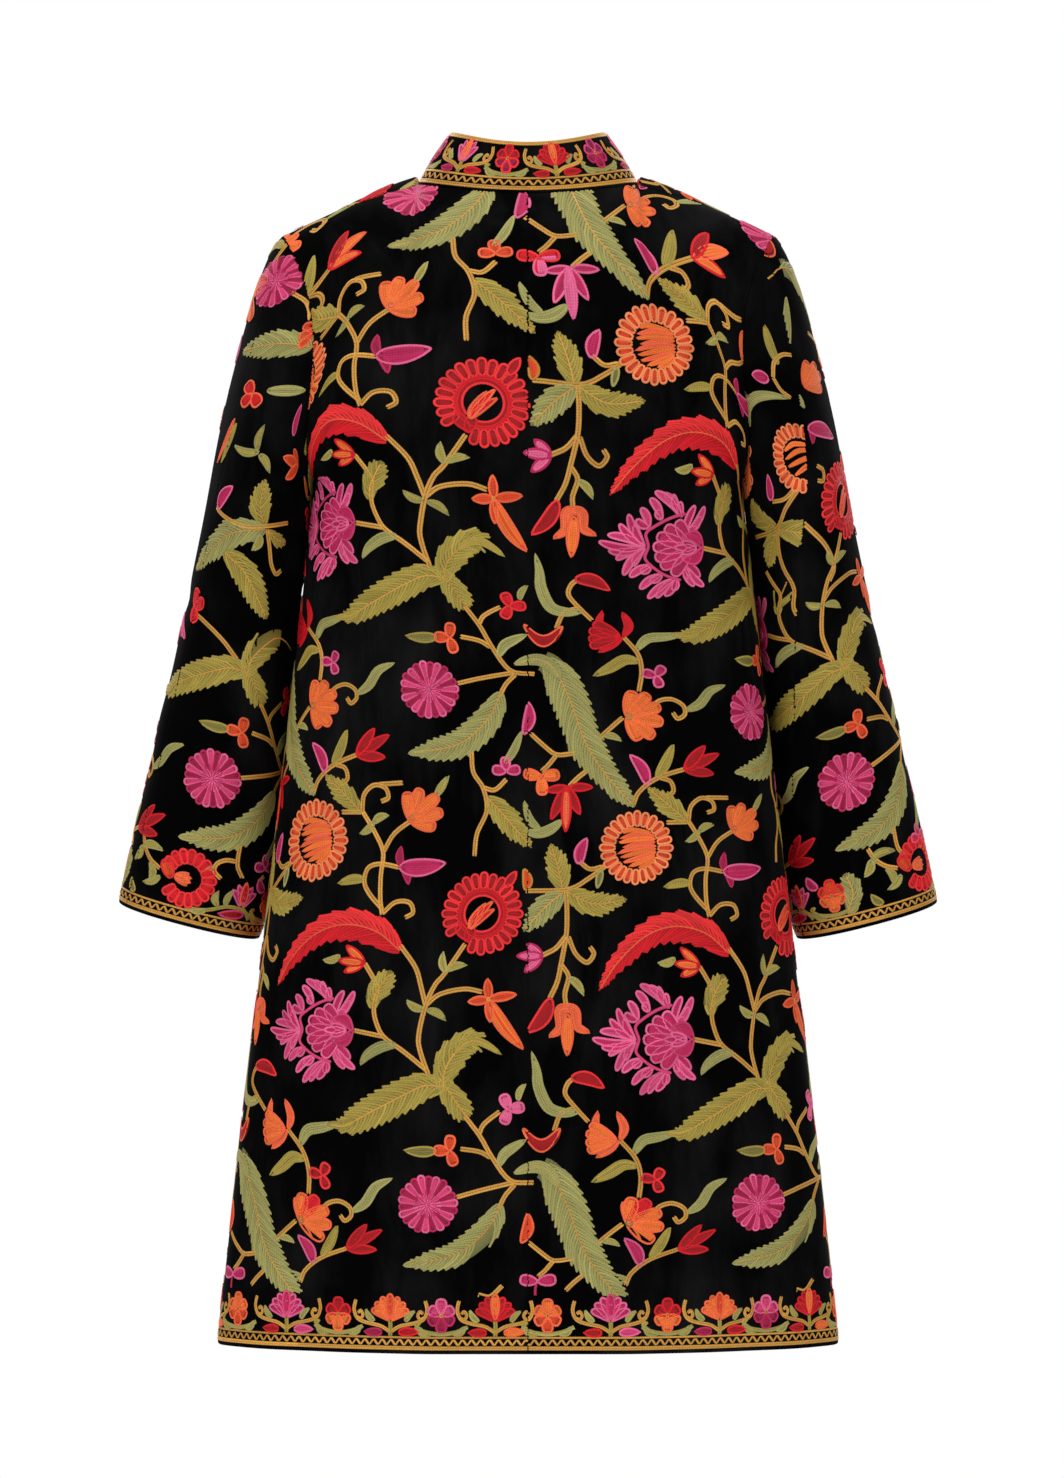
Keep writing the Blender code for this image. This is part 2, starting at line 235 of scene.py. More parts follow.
def top_edge(face, share):
    """The neck line and then the shoulder seam, with the angle through which the cloth has turned."""
    on_neck = np.clip(share / NECK_SHARE, 0, 1)
    turn = NECK_TURN[face] + (SHOULDER_TURN[face] - NECK_TURN[face]) * on_neck**2
    nx, ny, nz = neck_point(face, on_neck * math.pi / 2)
    along = np.clip((share - NECK_SHARE) / (1 - NECK_SHARE), 0, 1)
    x0, y0, z0 = neck_point(face, math.pi / 2)
    x = np.where(share <= NECK_SHARE, nx, x0 + (SHOULDER_TIP[0] - x0) * along)
    y = np.where(share <= NECK_SHARE, ny, y0 + (SHOULDER_TIP[1] - y0) * along)
    z = z0 + (SHOULDER_TIP[2] - z0) * along + SHOULDER_BOW * np.sin(math.pi * along)
    return x, y, np.where(share <= NECK_SHARE, nz, z), turn


def armhole(face, turn):
    """The armhole's edge: turn is 0 at the shoulder tip and half a turn under the arm."""
    upper, lower = (1 + np.cos(turn)) / 2, (1 - np.cos(turn)) / 2
    x = ARMHOLE_INSET + (SHOULDER_TIP[0] - ARMHOLE_INSET) * upper**4
    x = x + (BODY[-1][1] - ARMHOLE_INSET) * lower**3 + ARMHOLE_SWELL * np.sin(math.pi * lower**3)
    depth = np.where(np.asarray(face) < 0, ARMHOLE_DEPTH[-1], ARMHOLE_DEPTH[1])
    y = SHOULDER_TIP[1] * upper + face * depth * np.maximum(np.sin(turn), 0.0) ** 0.9
    return x, y, SHOULDER_TIP[2] + ARMHOLE_DROP * lower


def rise(face, share, along):
    x_low, y_low = body_section(face, share, np.full_like(share, CHEST_HEIGHT))
    x_high, y_high, z_high, end = top_edge(face, share)
    turn = along * end
    over = ((1 - np.cos(turn)) / (1 - np.cos(end))) ** 1.2
    x = x_low + (x_high - x_low) * smooth_step(0, 1, along)
    return x, y_low + (y_high - y_low) * over, CHEST_HEIGHT + (z_high - CHEST_HEIGHT) * np.sin(turn) / np.sin(end)


def panel_point(face, share, up):
    """A point of a body panel's outside, for shares from the centre to the side and up from the hem."""
    height = BODY[0][0] + (CHEST_HEIGHT - BODY[0][0]) * np.clip(up * 2, 0, 1)
    skirt = (*body_section(face, share, height), height)
    along = np.clip(up * 2 - 1, 0, 1)
    point, plain = rise(face, share, along), rise(face, np.ones_like(share), along)
    edge = armhole(face, math.pi * (1 - along))
    pull = smooth_step(0.35, 1.0, share) ** 1.5
    return np.stack([np.where(up <= 0.5, s, p + pull * (e - q)) for s, p, e, q in zip(skirt, point, edge, plain)], -1)


# %% [markdown]
# A sleeve is a stack of ovals down the arm. Above them its cap runs in a curve from the armhole's edge to
# the topmost oval, leaving the one and meeting the other in the direction that each has.

# %% The sleeve's form
def sleeve_ring(turn, height):
    outer, inner = value_at(SLEEVE, 1, height), value_at(SLEEVE, 2, height)
    depth, middle_y = value_at(SLEEVE, 4, height), value_at(SLEEVE, 3, height)
    back, out = oval(turn, value_at(SLEEVE, 5, height))
    x = (outer + inner) / 2 + (outer - inner) / 2 * out
    tilt = SLEEVE_TILT * (x - (outer + inner) / 2) - SLEEVE_LEAN * depth * back
    return np.stack([x, middle_y - depth * back, height + tilt], -1)


def sleeve_point(turn, share):
    """A point of a sleeve's outside, from the armhole at share 0 to the cuff at 1."""
    first, last = SLEEVE[-1][0], SLEEVE[0][0]
    height = first + (last - first) * np.clip((share - CAP_SHARE) / (1 - CAP_SHARE), 0, 1)
    arm = sleeve_ring(turn, height)
    t = np.clip(share / CAP_SHARE, 0, 1)[..., None]
    turned = turn % (2 * math.pi)
    face = np.where(turned <= math.pi, -1, 1)
    start = np.stack(armhole(face, np.where(face < 0, turned, 2 * math.pi - turned)), -1)
    start = start + np.array((ARMHOLE_GAP, 0, 0))
    end = sleeve_ring(turn, np.full_like(turn, first))
    below = sleeve_ring(turn, np.full_like(turn, first - 0.01))
    way = np.linalg.norm(end - start, axis=-1, keepdims=True)
    lower = (1 - np.cos(turn)) / 2
    slope = np.radians(CAP_SLOPE[0] + (CAP_SLOPE[1] - CAP_SLOPE[0]) * lower**2)
    reach = CAP_REACH[0] + (CAP_REACH[1] - CAP_REACH[0]) * lower
    leave = np.stack([reach * np.cos(slope), np.zeros_like(reach), -reach * np.sin(slope)], -1)
    arrive = (below - end) / 0.01 * way
    cap = start * (1 + 2 * t) * (1 - t) ** 2 + end * t * t * (3 - 2 * t)
    cap = cap + leave * t * (1 - t) ** 2 + arrive * t * t * (t - 1)
    point = np.where((share < CAP_SHARE)[..., None], cap, arm)
    push = 0.0
    for angle, spread, place, along, depth in CREASES:
        off = (np.degrees(turn) - angle + 180) % 360 - 180
        push = push + depth * np.exp(-((off / spread) ** 2) - ((share - place) / along) ** 2)
    return point + np.stack([push * np.cos(turn), -push * np.sin(turn), 0 * push], -1)


# %% The collar's form
def collar_point(face, along, up):
    """A point of the collar's outside, along a quarter from the middle to the side, and up from the seam."""
    turn = along * math.pi / 2
    start = np.stack(neck_point(face, turn), -1)
    level = np.abs(np.cos(turn))
    end = np.stack([
        COLLAR_HALF_WIDTH * np.sin(turn),
        COLLAR_SIDE[0] + (COLLAR_REACH[face] - COLLAR_SIDE[0]) * level,
        COLLAR_SIDE[1] + (COLLAR_HEIGHT[face] - COLLAR_SIDE[1]) * level**2,
    ], -1)
    lift = COLLAR_GAP / np.linalg.norm(end - start, axis=-1)
    up = lift + (1 - lift) * up
    point = start + (end - start) * up[..., None]
    away = np.hypot(point[..., 0], point[..., 1])
    bulge = COLLAR_BULGE * np.sin(math.pi * up) / away
    return point + np.stack([bulge * point[..., 0], bulge * point[..., 1], 0 * bulge], -1)


# %% [markdown]
# Each sheet is kept as a fine grid of points with two measures at every point: how far round it lies
# from its middle line, and how far up from its lower edge. Those are the flat cloth's own directions, so
# the pattern can be drawn flat and laid on the sheet. Columns run to the right as seen from outside, so
# that right times up points out of the cloth.

# %% Sheets of cloth
TURNED = 0.0018  # how far an edge rolls in


def spaced(cells, near):
    """Places from 0 to 1, even but with a few close to each end, where the edge rolls in."""
    close = np.array((0.0, 0.2, 0.5, 0.9)) * near
    middle = np.linspace(2.2 * near, 1 - 2.2 * near, cells - 7)
    return np.concatenate([close, middle, 1 - close[::-1]])


def measured(points, axis):
    """Length along the grid's lines, from the first one."""
    step = np.linalg.norm(np.diff(points, axis=axis), axis=-1)
    zero = np.zeros_like(np.take(step, [0], axis=axis))
    return np.cumsum(np.concatenate([zero, step], axis=axis), axis=axis)


def outward(points):
    right, up = np.gradient(points, axis=1), np.gradient(points, axis=0)
    n = np.cross(right, up)
    return n / np.maximum(np.linalg.norm(n, axis=-1, keepdims=True), 1e-12)


print("rows of a sheet from hem to neck, at most", len(spaced(136, 0.0019)))

# %% [markdown]
# The pattern of the photo doesn't lie quite straight: over the shoulder blades it runs wider and higher, and
# here and there a flower lies a little aside. The cloth may have been eased there when it was sewn. The
# amounts were found by comparing flowers in the photo with a first render, one by one.

# %% How the cloth was eased and pulled
EASE = (  # height above the hem, widened by, raised by
    (0.560, 1.00, 0.000),
    (0.680, 1.02, 0.008),
    (0.774, 1.12, 0.010),
    (0.866, 1.21, 0.016),
    (0.980, 1.27, 0.020),
)

PULLS = (  # round from the centre, height, moved right, moved up
    (-0.041, 0.774, 0.005, -0.002), (-0.107, 0.866, 0.003, 0.002), (0.109, 0.821, 0.008, -0.015),
    (0.128, 0.743, 0.008, -0.013), (-0.155, 0.772, -0.014, 0.000), (-0.179, 0.682, -0.009, -0.002),
    (0.115, 0.658, 0.011, -0.031), (0.030, 0.678, 0.002, -0.017), (0.190, 0.600, 0.016, -0.017),
    (-0.084, 0.536, 0.000, -0.002), (0.197, 0.527, 0.010, -0.013), (0.090, 0.525, 0.002, 0.002),
    (-0.038, 0.359, -0.004, 0.001), (0.091, 0.414, 0.005, -0.002), (-0.084, 0.436, 0.008, 0.002),
    (-0.175, 0.260, -0.010, -0.001), (0.110, 0.260, 0.003, -0.013), (0.112, 0.326, -0.003, 0.002),
    (-0.080, 0.127, 0.001, -0.007), (0.203, 0.117, 0.007, -0.008), (0.080, 0.965, -0.016, 0.010),
    (-0.130, 0.508, 0.004, 0.017), (-0.120, 0.965, -0.016, 0.008), (-0.060, 0.940, 0.000, 0.000),
    (0.050, 0.930, 0.000, 0.000),
)


PULL_REACH, PULL_REST = 0.050, 0.10  # how far a pull is felt, and the weight of cloth that stays


def pulled(around, up):
    """How far the pattern is moved at each place: the mean of the pulls near it."""
    weight, moved = PULL_REST, 0.0
    for x, y, right, higher in PULLS:
        near = np.exp(-((around - x) ** 2 + (up - y) ** 2) / (2 * PULL_REACH**2))
        weight = weight + near
        moved = moved + near[..., None] * np.array((right, higher))
    return moved / weight[..., None] * smooth_step(0.055, 0.120, up)[..., None]


print("pulls", len(PULLS))

# %% One sheet
def hung(name, points, middle, creases=(), flat_around=False, rolls=(0.35, 0.35, 1.0, 0.35)):
    """Turns a grid of points into a sheet: measures it, pushes in its creases and rolls its edges in."""
    around, up = measured(points, 1), measured(points, 0)
    if flat_around:
        around = np.repeat(around[[len(around) // 2]], len(around), axis=0)
    around = around - middle(around)
    push = np.zeros(around.shape)
    for across, above, angle, long, wide, depth in creases:
        a = math.radians(angle)
        x, y = around - across, up - above
        s, t = x * math.cos(a) + y * math.sin(a), -x * math.sin(a) + y * math.cos(a)
        push += depth * np.exp(-((s / long) ** 2) - (t / wide) ** 2)
    normal = outward(points)
    edges = (around - around[:, :1], around[:, -1:] - around, up, up[-1:] - up)
    roll = np.zeros(around.shape)
    for edge, amount in zip(edges, rolls):
        inside = np.clip(1 - edge / TURNED, 0, 1)
        roll = np.maximum(roll, amount * (1 - np.sqrt(np.clip(1 - inside**2, 0, 1))))
    push -= 0.60 * TURNED * roll
    points = points + normal * push[..., None]
    sheet = {"name": name, "points": points, "normal": outward(points), "around": around, "up": up}
    if name.startswith("back"):
        at, wider, higher = zip(*EASE)
        moved = pulled(around, up)
        around, up = around - moved[..., 0], up - moved[..., 1]
        sheet["around"] = around / np.interp(up, at, wider)
        sheet["up"] = up - np.interp(up, at, higher)
    elif name == "collar":  # its border fills the collar's height all round
        sheet["up"] = up * up[-1, up.shape[1] // 2] / up[-1:]
    return sheet


# %% [markdown]
# Hanging velvet is never quite flat. A few long, shallow creases are placed on each piece, one by one, with their own
# lengths, widths and depths: down from the blades of the back, into the waist, from the underarm, and across the inside
# of the elbow.

# %% Creases, metres: round, up, angle, length, width, depth
BODY_CREASES = {
    "back_right": (
        (0.070, 0.500, 82, 0.110, 0.012, -0.0016),
        (0.128, 0.430, 78, 0.130, 0.014, 0.0016),
        (0.165, 0.560, 62, 0.060, 0.010, -0.0022),
        (0.205, 0.250, 84, 0.150, 0.016, -0.0018),
        (0.040, 0.180, 88, 0.120, 0.018, 0.0013),
        (0.120, 0.820, 25, 0.050, 0.009, -0.0012),
    ),
    "back_left": (
        (-0.060, 0.470, 98, 0.100, 0.013, -0.0015),
        (-0.115, 0.520, 101, 0.120, 0.012, 0.0015),
        (-0.172, 0.570, 120, 0.055, 0.010, -0.0023),
        (-0.215, 0.210, 95, 0.130, 0.017, -0.0017),
        (-0.090, 0.120, 91, 0.110, 0.016, 0.0014),
        (-0.110, 0.800, 152, 0.045, 0.010, -0.0012),
    ),
    "front_right": (
        (-0.080, 0.480, 96, 0.120, 0.013, -0.0016),
        (-0.170, 0.580, 116, 0.060, 0.010, -0.0024),
        (-0.200, 0.220, 94, 0.140, 0.016, -0.0018),
        (-0.060, 0.200, 91, 0.110, 0.017, 0.0014),
    ),
    "front_left": (
        (0.070, 0.510, 84, 0.110, 0.012, -0.0015),
        (0.176, 0.560, 66, 0.055, 0.011, -0.0022),
        (0.190, 0.260, 87, 0.150, 0.015, -0.0018),
        (0.085, 0.150, 88, 0.100, 0.018, 0.0013),
    ),
}
SLEEVE_CREASES = {
    "right": (
        (-0.020, 0.300, 28, 0.045, 0.009, -0.0026),
        (0.060, 0.255, -18, 0.050, 0.010, -0.0022),
        (0.020, 0.350, 40, 0.040, 0.009, 0.0018),
        (-0.110, 0.270, 12, 0.045, 0.010, -0.0026),
        (0.095, 0.420, 74, 0.060, 0.011, 0.0016),
    ),
    "left": (
        (0.015, 0.285, -24, 0.050, 0.009, -0.0025),
        (-0.065, 0.265, 15, 0.045, 0.011, -0.0022),
        (-0.025, 0.340, -42, 0.035, 0.009, 0.0018),
        (0.112, 0.285, -14, 0.050, 0.010, -0.0026),
        (-0.090, 0.410, 104, 0.065, 0.012, 0.0016),
    ),
}
print("creases", sum(len(some) for some in (*BODY_CREASES.values(), *SLEEVE_CREASES.values())))

# %% [markdown]
# The backs and fronts are laid out from the centre to the side and from the hem up. The grid is close where
# an edge rolls in and even elsewhere. The left pieces are the right ones mirrored, creases apart.

# %% Backs and fronts
MIRROR = np.array((-1.0, 1.0, 1.0))
PANEL_WIDTH = 0.28  # of one back or front, roughly, to turn a gap into a share
sheets = {}
for side in ("right", "left"):
    for face, word, centre in ((-1, "back", SEAM_GAP / 2), (1, "front", CENTRE_GAP)):
        up = np.repeat(spaced(136, 0.0019)[:, None], 69, axis=1)
        share = np.repeat(spaced(68, 0.0060)[None, :], len(up), axis=0)
        up = up[:, : share.shape[1]]
        share = centre / PANEL_WIDTH + share * (1 - (centre + SEAM_GAP / 2) / PANEL_WIDTH)
        points = panel_point(face, share, up)
        points[..., 1] += face * SEAM_GAP / 2 * smooth_step(0.5, 1, up)
        rightwards = (side == "right") == (face < 0)
        if side == "left":
            points = points * MIRROR
        if not rightwards:
            points = points[:, ::-1]
        name = f"{word}_{side}"
        middle = (lambda a: a[:, :1]) if rightwards else (lambda a: a[:, -1:])
        closing = (0.35, 0.35) if word == "back" else (1.0, 0.35) if rightwards else (0.35, 1.0)
        sheets[name] = hung(name, points, middle, BODY_CREASES[name], rolls=(*closing, 1.0, 0.35))
print("body", ", ".join(sheets))

# %% [markdown]
# A sleeve's two pieces meet at a seam down the back and one along the forearm. The pattern on them is
# measured round from the line that faces straight back.

# %% The sleeves
SLEEVE_RADIUS = 0.055  # a small radius, to turn a gap into an angle
for side in ("right", "left"):
    down = 1 - spaced(104, 0.0032)
    back = np.radians(value_at(SLEEVE_SEAM, 1 if side == "right" else 2, down))
    front = math.radians(FOREARM_SEAM)
    gap = (SEAM_GAP + (CAP_SEAM_GAP - SEAM_GAP) * smooth_step(0, CAP_SHARE, CAP_SHARE - down)) / 2
    for piece, start, end, cells in (
        ("upper", front - 2 * math.pi + 0 * back, back, 66),
        ("under", back, front + 0 * back, 42),
    ):
        share = spaced(cells, 0.0075)[None, :]
        trim = gap[:, None] / SLEEVE_RADIUS
        turn = (start[:, None] + trim) + (end - start - 2 * trim[:, 0])[:, None] * share
        whole = np.repeat(down[:, None], turn.shape[1], axis=1)
        points = sleeve_point(turn, whole)
        # how far round from the line that faces straight back, a quarter turn from the outer side
        fine = np.linspace(math.radians(-140), math.radians(230), 371)
        ring = sleeve_point(np.repeat(fine[None, :], len(down), axis=0), np.repeat(down[:, None], len(fine), axis=1))
        length = measured(ring, 1)
        zero = np.array([np.interp(math.radians(90), fine, row) for row in length])
        begin = np.array([np.interp(t, fine, row) for t, row in zip(turn[:, 0], length)]) - zero
        if side == "right":
            points = points[:, ::-1]
            finish = np.array([np.interp(t, fine, row) for t, row in zip(turn[:, -1], length)]) - zero
            middle = lambda a, finish=finish: finish[:, None]
        else:
            points = points * MIRROR
            middle = lambda a, begin=begin: -begin[:, None]
        name = f"sleeve_{side}_{piece}"
        sheet = hung(name, points, middle, SLEEVE_CREASES[side])
        sheets[name] = sheet
print("sleeves", ", ".join(name for name in sheets if name.startswith("sleeve")))

# %% [markdown]
# The collar is one band round the neck. A quarter of it is worked out on each side of the shoulder, and the
# left half is the right one mirrored.

# %% The collar
quarter = spaced(40, 0.006)
rows_up = np.repeat(spaced(18, 0.02)[:, None], len(quarter), axis=1)
column = np.repeat(quarter[None, :], len(rows_up), axis=0)
front_half = collar_point(1, COLLAR_SLIT + column * (1 - COLLAR_SLIT), rows_up)
back_half = collar_point(-1, column, rows_up)
right_half = np.concatenate([back_half, front_half[:, ::-1][:, 1:]], axis=1)
left_half = (right_half * MIRROR)[:, ::-1]
points = np.concatenate([left_half, right_half[:, 1:]], axis=1)
centre_column = left_half.shape[1] - 1
sheets["collar"] = hung("collar", points, lambda a: a[:, [centre_column]], (), flat_around=True)
for name, sheet in sheets.items():
    wide = sheet["around"][:, -1] - sheet["around"][:, 0]
    long = sheet["up"].max()
    print(name, "grid", sheet["points"].shape[:2], "widest", round(float(wide.max()), 3), "long", round(float(long), 3))

# %% [markdown]
# The embroidery is rows of stitches, so the chart is a list of rows: the points each follows, its colour,
# its half-width and the layer it lies on. A step of the chart is 0.81 mm. The helpers draw a maker's
# elements: a row along a smooth route, a stem of two gold rows, a petal with its outline and the rows
# that fill it, and a leaf of slanting stitches either side of its rib.

# %% Rows of stitches
STEP = 0.00081
PITCH = 2.25  # between rows that lie side by side
ROW = 1.2  # half of a row's width
rows = []


def stitch(points, colour, half=ROW, layer=0):
    """A row of stitches: its points, with its half-width at each."""
    p = np.asarray(points, float)[:, :2]
    rows.append((np.column_stack([p, np.broadcast_to(half, len(p))]), colour, layer))


def padding(points, colour, half):
    """A flat patch below the rows, as the first padding stitches are. In the mesh it is dimmed, as painted shade in the
    gaps between the rows.
    """
    stitch(points, colour, half, -1)


print("a row is", round(2000 * ROW * STEP, 2), "mm wide")


# %% Routes and stems
def route(points, gap=2.0):
    """A smooth line through a few points."""
    p = np.asarray(points, float)
    if len(p) == 2:
        n = max(2, int(np.linalg.norm(p[1] - p[0]) / gap))
        return p[0] + (p[1] - p[0]) * np.linspace(0, 1, n + 1)[:, None]
    p = np.concatenate([[2 * p[0] - p[1]], p, [2 * p[-1] - p[-2]]])
    out = []
    for a, b, c, d in zip(p[:-3], p[1:-2], p[2:-1], p[3:]):
        n = max(2, math.ceil(np.linalg.norm(c - b) / gap))
        t = np.linspace(0, 1, n, endpoint=False)[:, None]
        out.append(0.5 * (2 * b + (c - a) * t + (2 * a - 5 * b + 4 * c - d) * t**2 + (3 * b - a - 3 * c + d) * t**3))
    return np.concatenate(out + [p[-2:-1]])


def sideways(path):
    d = np.gradient(path[:, :2], axis=0)
    return np.stack([-d[:, 1], d[:, 0]], -1) / np.maximum(np.linalg.norm(d, axis=1), 1e-9)[:, None]


def beside(path, off):
    return path + sideways(path) * np.reshape(off, (-1, 1))


def stem(*points, colour="gold", half=1.14, apart=1.24):
    path = route(points, 1.3)
    for off in (-apart, apart):
        stitch(beside(path, off), colour, half, 1)


def turned(angle, points, at=(0, 0), size=1.0):
    """Points drawn along +x, turned by an angle in degrees and put in their place."""
    a = math.radians(angle)
    p = np.asarray(points, float) * size
    x, y = p[:, 0] * math.cos(a) - p[:, 1] * math.sin(a), p[:, 0] * math.sin(a) + p[:, 1] * math.cos(a)
    return np.stack([x, y], -1) + np.asarray(at, float)


# %% [markdown]
# A petal is one row round its edge and a few rows inside it, from base to tip, as an embroiderer fills it.
# Its width follows a simple curve, whose two powers say how it widens and how it closes.

# %% Petals
OUTLINES = {  # how a petal widens from its base and closes at its tip
    "round": (0.60, 0.34),
    "pointed": (0.75, 0.85),
    "lance": (0.60, 0.95),
    "bud": (0.55, 0.80),
    "crescent": (0.45, 0.45),
    "finger": (0.80, 0.50),
}


def rounded(t, shoulder):
    """1 up to the shoulder, then a round end."""
    return np.sqrt(np.clip(1 - np.clip((t - shoulder) / (1 - shoulder), 0, 1) ** 2, 0, 1))


def widening(kind, t):
    """The petal's half-width along it, from 0 to 1. A wedge is one spoke of a wheel."""
    if kind == "wedge":
        return (0.62 + 0.38 * t) * np.clip(t / 0.12, 0, 1) ** 0.5 * rounded(t, 0.70)
    if kind == "spoke":
        return (0.16 + 0.84 * t) * rounded(t, 0.86)
    opening, closing = OUTLINES[kind]
    shape = t**opening * (1 - t) ** closing
    return shape / shape.max()


def petal(base, tip, width, edge, fill, kind="round", bend=0.0, layer=2, rib=None):
    """An outline of one row, and the rows that fill it from base to tip."""
    base, tip = np.asarray(base, float), np.asarray(tip, float)
    long = np.linalg.norm(tip - base)
    n = max(11, int(long / 2.0) + 6)
    t = (1 - np.cos(np.linspace(0, math.pi, n))) / 2
    axis = (tip - base) / long
    off = np.array((-axis[1], axis[0]))
    shape = widening(kind, t) * width / 2
    middle = base + axis * long * t[:, None] + off * bend * long * np.sin(math.pi * t)[:, None]
    rim = (shape * max(width / 2 - 1.0, 0.2) / (width / 2))[:, None]
    pulled_in = middle - axis * (1.1 * t)[:, None]
    left, right = pulled_in + off * rim, pulled_in - off * rim
    padding(middle[1:-1], fill, np.maximum(shape - 0.9, 0.3)[1:-1])
    inner = max(width - 2 * PITCH - 0.4, 0)
    count = int(inner / PITCH) + 1 if width > 5.2 else 0
    for k in range(count):
        f = (k - (count - 1) / 2) * PITCH / (width / 2)
        low = 0.45 if f else 0.18
        keep = (shape / (width / 2) > low) & (t > 0.08) & (long * (1 - t) > 2.6)
        if keep.sum() >= 2:
            stitch((middle + off * (f * shape)[:, None])[keep], rib if rib and abs(f) < 0.1 else fill, 1.35, layer)
    stitch(np.concatenate([left, right[:-1][::-1]]), edge, ROW, layer + 1)


print("petals", ", ".join(OUTLINES))

# %% [markdown]
# A leaf's stitches slant forward from its rib. Their ends make its edge, so letting the lengths rise and
# fall in turn gives the teeth. A slender leaf is a few long rows side by side.

# %% Leaves
def leaf(
    spine, width, tone="sage", slant=29, tooth=12.0, tip=0.42, stalk=0.5, upper=None, rib="gold", tongue=0.0, neck=0.0
):
    """Slanting rows each side of a rib. Their lengths rise and fall, which makes the toothed edge."""
    path = route(spine, 1.0)
    far = np.concatenate([[0], np.cumsum(np.linalg.norm(np.diff(path, axis=0), axis=1))])
    long = far[-1]
    out = sideways(path)
    lean = math.radians(slant)
    top = (stalk / (stalk + tip)) ** stalk * (tip / (stalk + tip)) ** tip

    def half_at(at):
        t = np.clip(at / long, 0.004, 0.996)
        return width / 2 * t**stalk * (1 - t) ** tip / top

    def point(at, off):
        return np.stack([np.interp(at, far, path[:, k]) + np.interp(at, far, out[:, k]) * off for k in (0, 1)], -1)

    begin, stop = long * neck, long * (1 - tongue)
    along = np.linspace(begin + 0.5, stop - 0.5, max(6, int(long / 4)))
    padding(point(along, 0 * along), upper or tone, np.maximum(half_at(along) * 0.80, 0.5))
    if tongue:  # the leaf's tip, and its foot, are plain rows along it
        reed(point(np.linspace(long * (1 - 1.9 * tongue), long, 5), np.zeros(5)), 0.30 * width, tone, 0.35, 0.45, 3)
    if neck:
        reed(point(np.linspace(long * 1.9 * neck, 0, 5), np.zeros(5)), 0.36 * width, tone, 0.35, 0.50, 3)
    for side_ in (-1, 1):
        at = -0.2 * width / 2 + begin
        while at < stop - 3:
            reach = half_at(at) / math.sin(lean)
            for _ in range(4):
                reach = (reach + half_at(at + reach * math.cos(lean)) / math.sin(lean)) / 2
            saw = (at + (0 if side_ > 0 else tooth / 2)) % tooth / tooth
            reach *= 0.84 + 0.27 * saw
            low = max(-at / math.cos(lean), 0) / reach
            if at + reach * math.cos(lean) > long - 1:
                at += PITCH / math.sin(lean)
                continue
            go = np.array([low, 0.35 + 0.65 * low, 0.72 + 0.28 * low, 1.0])
            bow = 0.05 * reach * np.sin(math.pi * go)
            line = point(at + reach * math.cos(lean) * go - bow * 0.5, side_ * (reach * math.sin(lean) * go + bow))
            if low < 0.7 and reach * (1 - low) > 2:
                stitch(line, (upper if upper and side_ > 0 else tone), 1.30, 1)
            at += PITCH / math.sin(lean)
    if rib:
        stitch(path[1 : max(len(path) - 3, 5) : 2], rib, 0.85, 3)


def reed(spine, width, tone="sage", start=0.45, end=0.60, layer=1):
    """A slender plain leaf on a curved spine: rows side by side that follow it."""
    path = route(spine, 1.8)
    t = np.linspace(0, 1, len(path))
    shape = t**start * (1 - t) ** end
    shape = shape / shape.max() * width / 2
    # painted shade: under sage and olive rows the padding is a darker thread, for the gaps between rows
    padding(path[1:-1], {"sage": "moss", "olive": "ochre_dark"}.get(tone, tone), np.maximum(shape - 0.7, 0.3)[1:-1])
    count = int(max(width - 2 * PITCH, 0) / PITCH) + 1
    for k in range(count):
        f = (k - (count - 1) / 2) * PITCH / (width / 2)
        keep = shape / (width / 2) > 0.42
        if keep.sum() >= 2:
            stitch(beside(path, f * shape)[keep], tone, 1.16, layer)
    rim = np.maximum(shape - 1.0, 0)
    stitch(np.concatenate([beside(path, rim)[:-1], path[-1:], beside(path, -rim)[:-1][::-1]]), tone, 1.16, layer + 1)


def blade(base, tip, width=8, tone="sage", bend=0.10):
    """A small plain leaf: an outline with one or two rows inside."""
    petal(base, tip, width, tone, "olive" if tone == "sage" else "moss", "lance", bend, 1)


# %% Small flowers and eyes
def flower_of(at, angles, long, width, edge, fill, kind="round", start=1.0, layer=2):
    for i, angle in enumerate(angles):
        size = long[i % len(long)] if hasattr(long, "__len__") else long
        base, tip = turned(angle, [(start, 0), (size, 0)], at)
        petal(base, tip, width, edge, fill, kind, 0, layer)


def eye_stitch(at, colour="gold", r=1.6):
    ring = turned(0, [(r * math.cos(a), r * math.sin(a)) for a in np.linspace(0, 2 * math.pi, 7)], at)
    stitch(ring, colour, 1.0, 5)


def ring_row(at, r, colour, start=0, end=360, half=ROW, layer=2):
    n = max(8, int(abs(end - start) / 360 * 2 * math.pi * r / 3.2))
    a = np.radians(np.linspace(start, end, n))
    stitch(np.stack([at[0] + r * np.cos(a), at[1] + r * np.sin(a)], -1), colour, half, layer)


def clover(at, angles, edge, fill, long=15, width=12.5):
    flower_of(at, angles, long, width, edge, fill, "round", 0.5)


# %% Pairs of colours, an edge's and a filling's
RED, PINK, MAGENTA, ORANGE = ("red", "crimson"), ("pink", "rose"), ("magenta", "crimson_pink"), ("coral", "orange")
DARK_ORANGE, PLUM = ("coral", "deep_orange"), ("rose", "plum")

# %% [markdown]
# The peony is the richest flower: hands of fingers spread round an arc, and a fan of round petals inside
# it. The daisy is a ring of spokes, the wheel a ring of round petals about a dark middle.

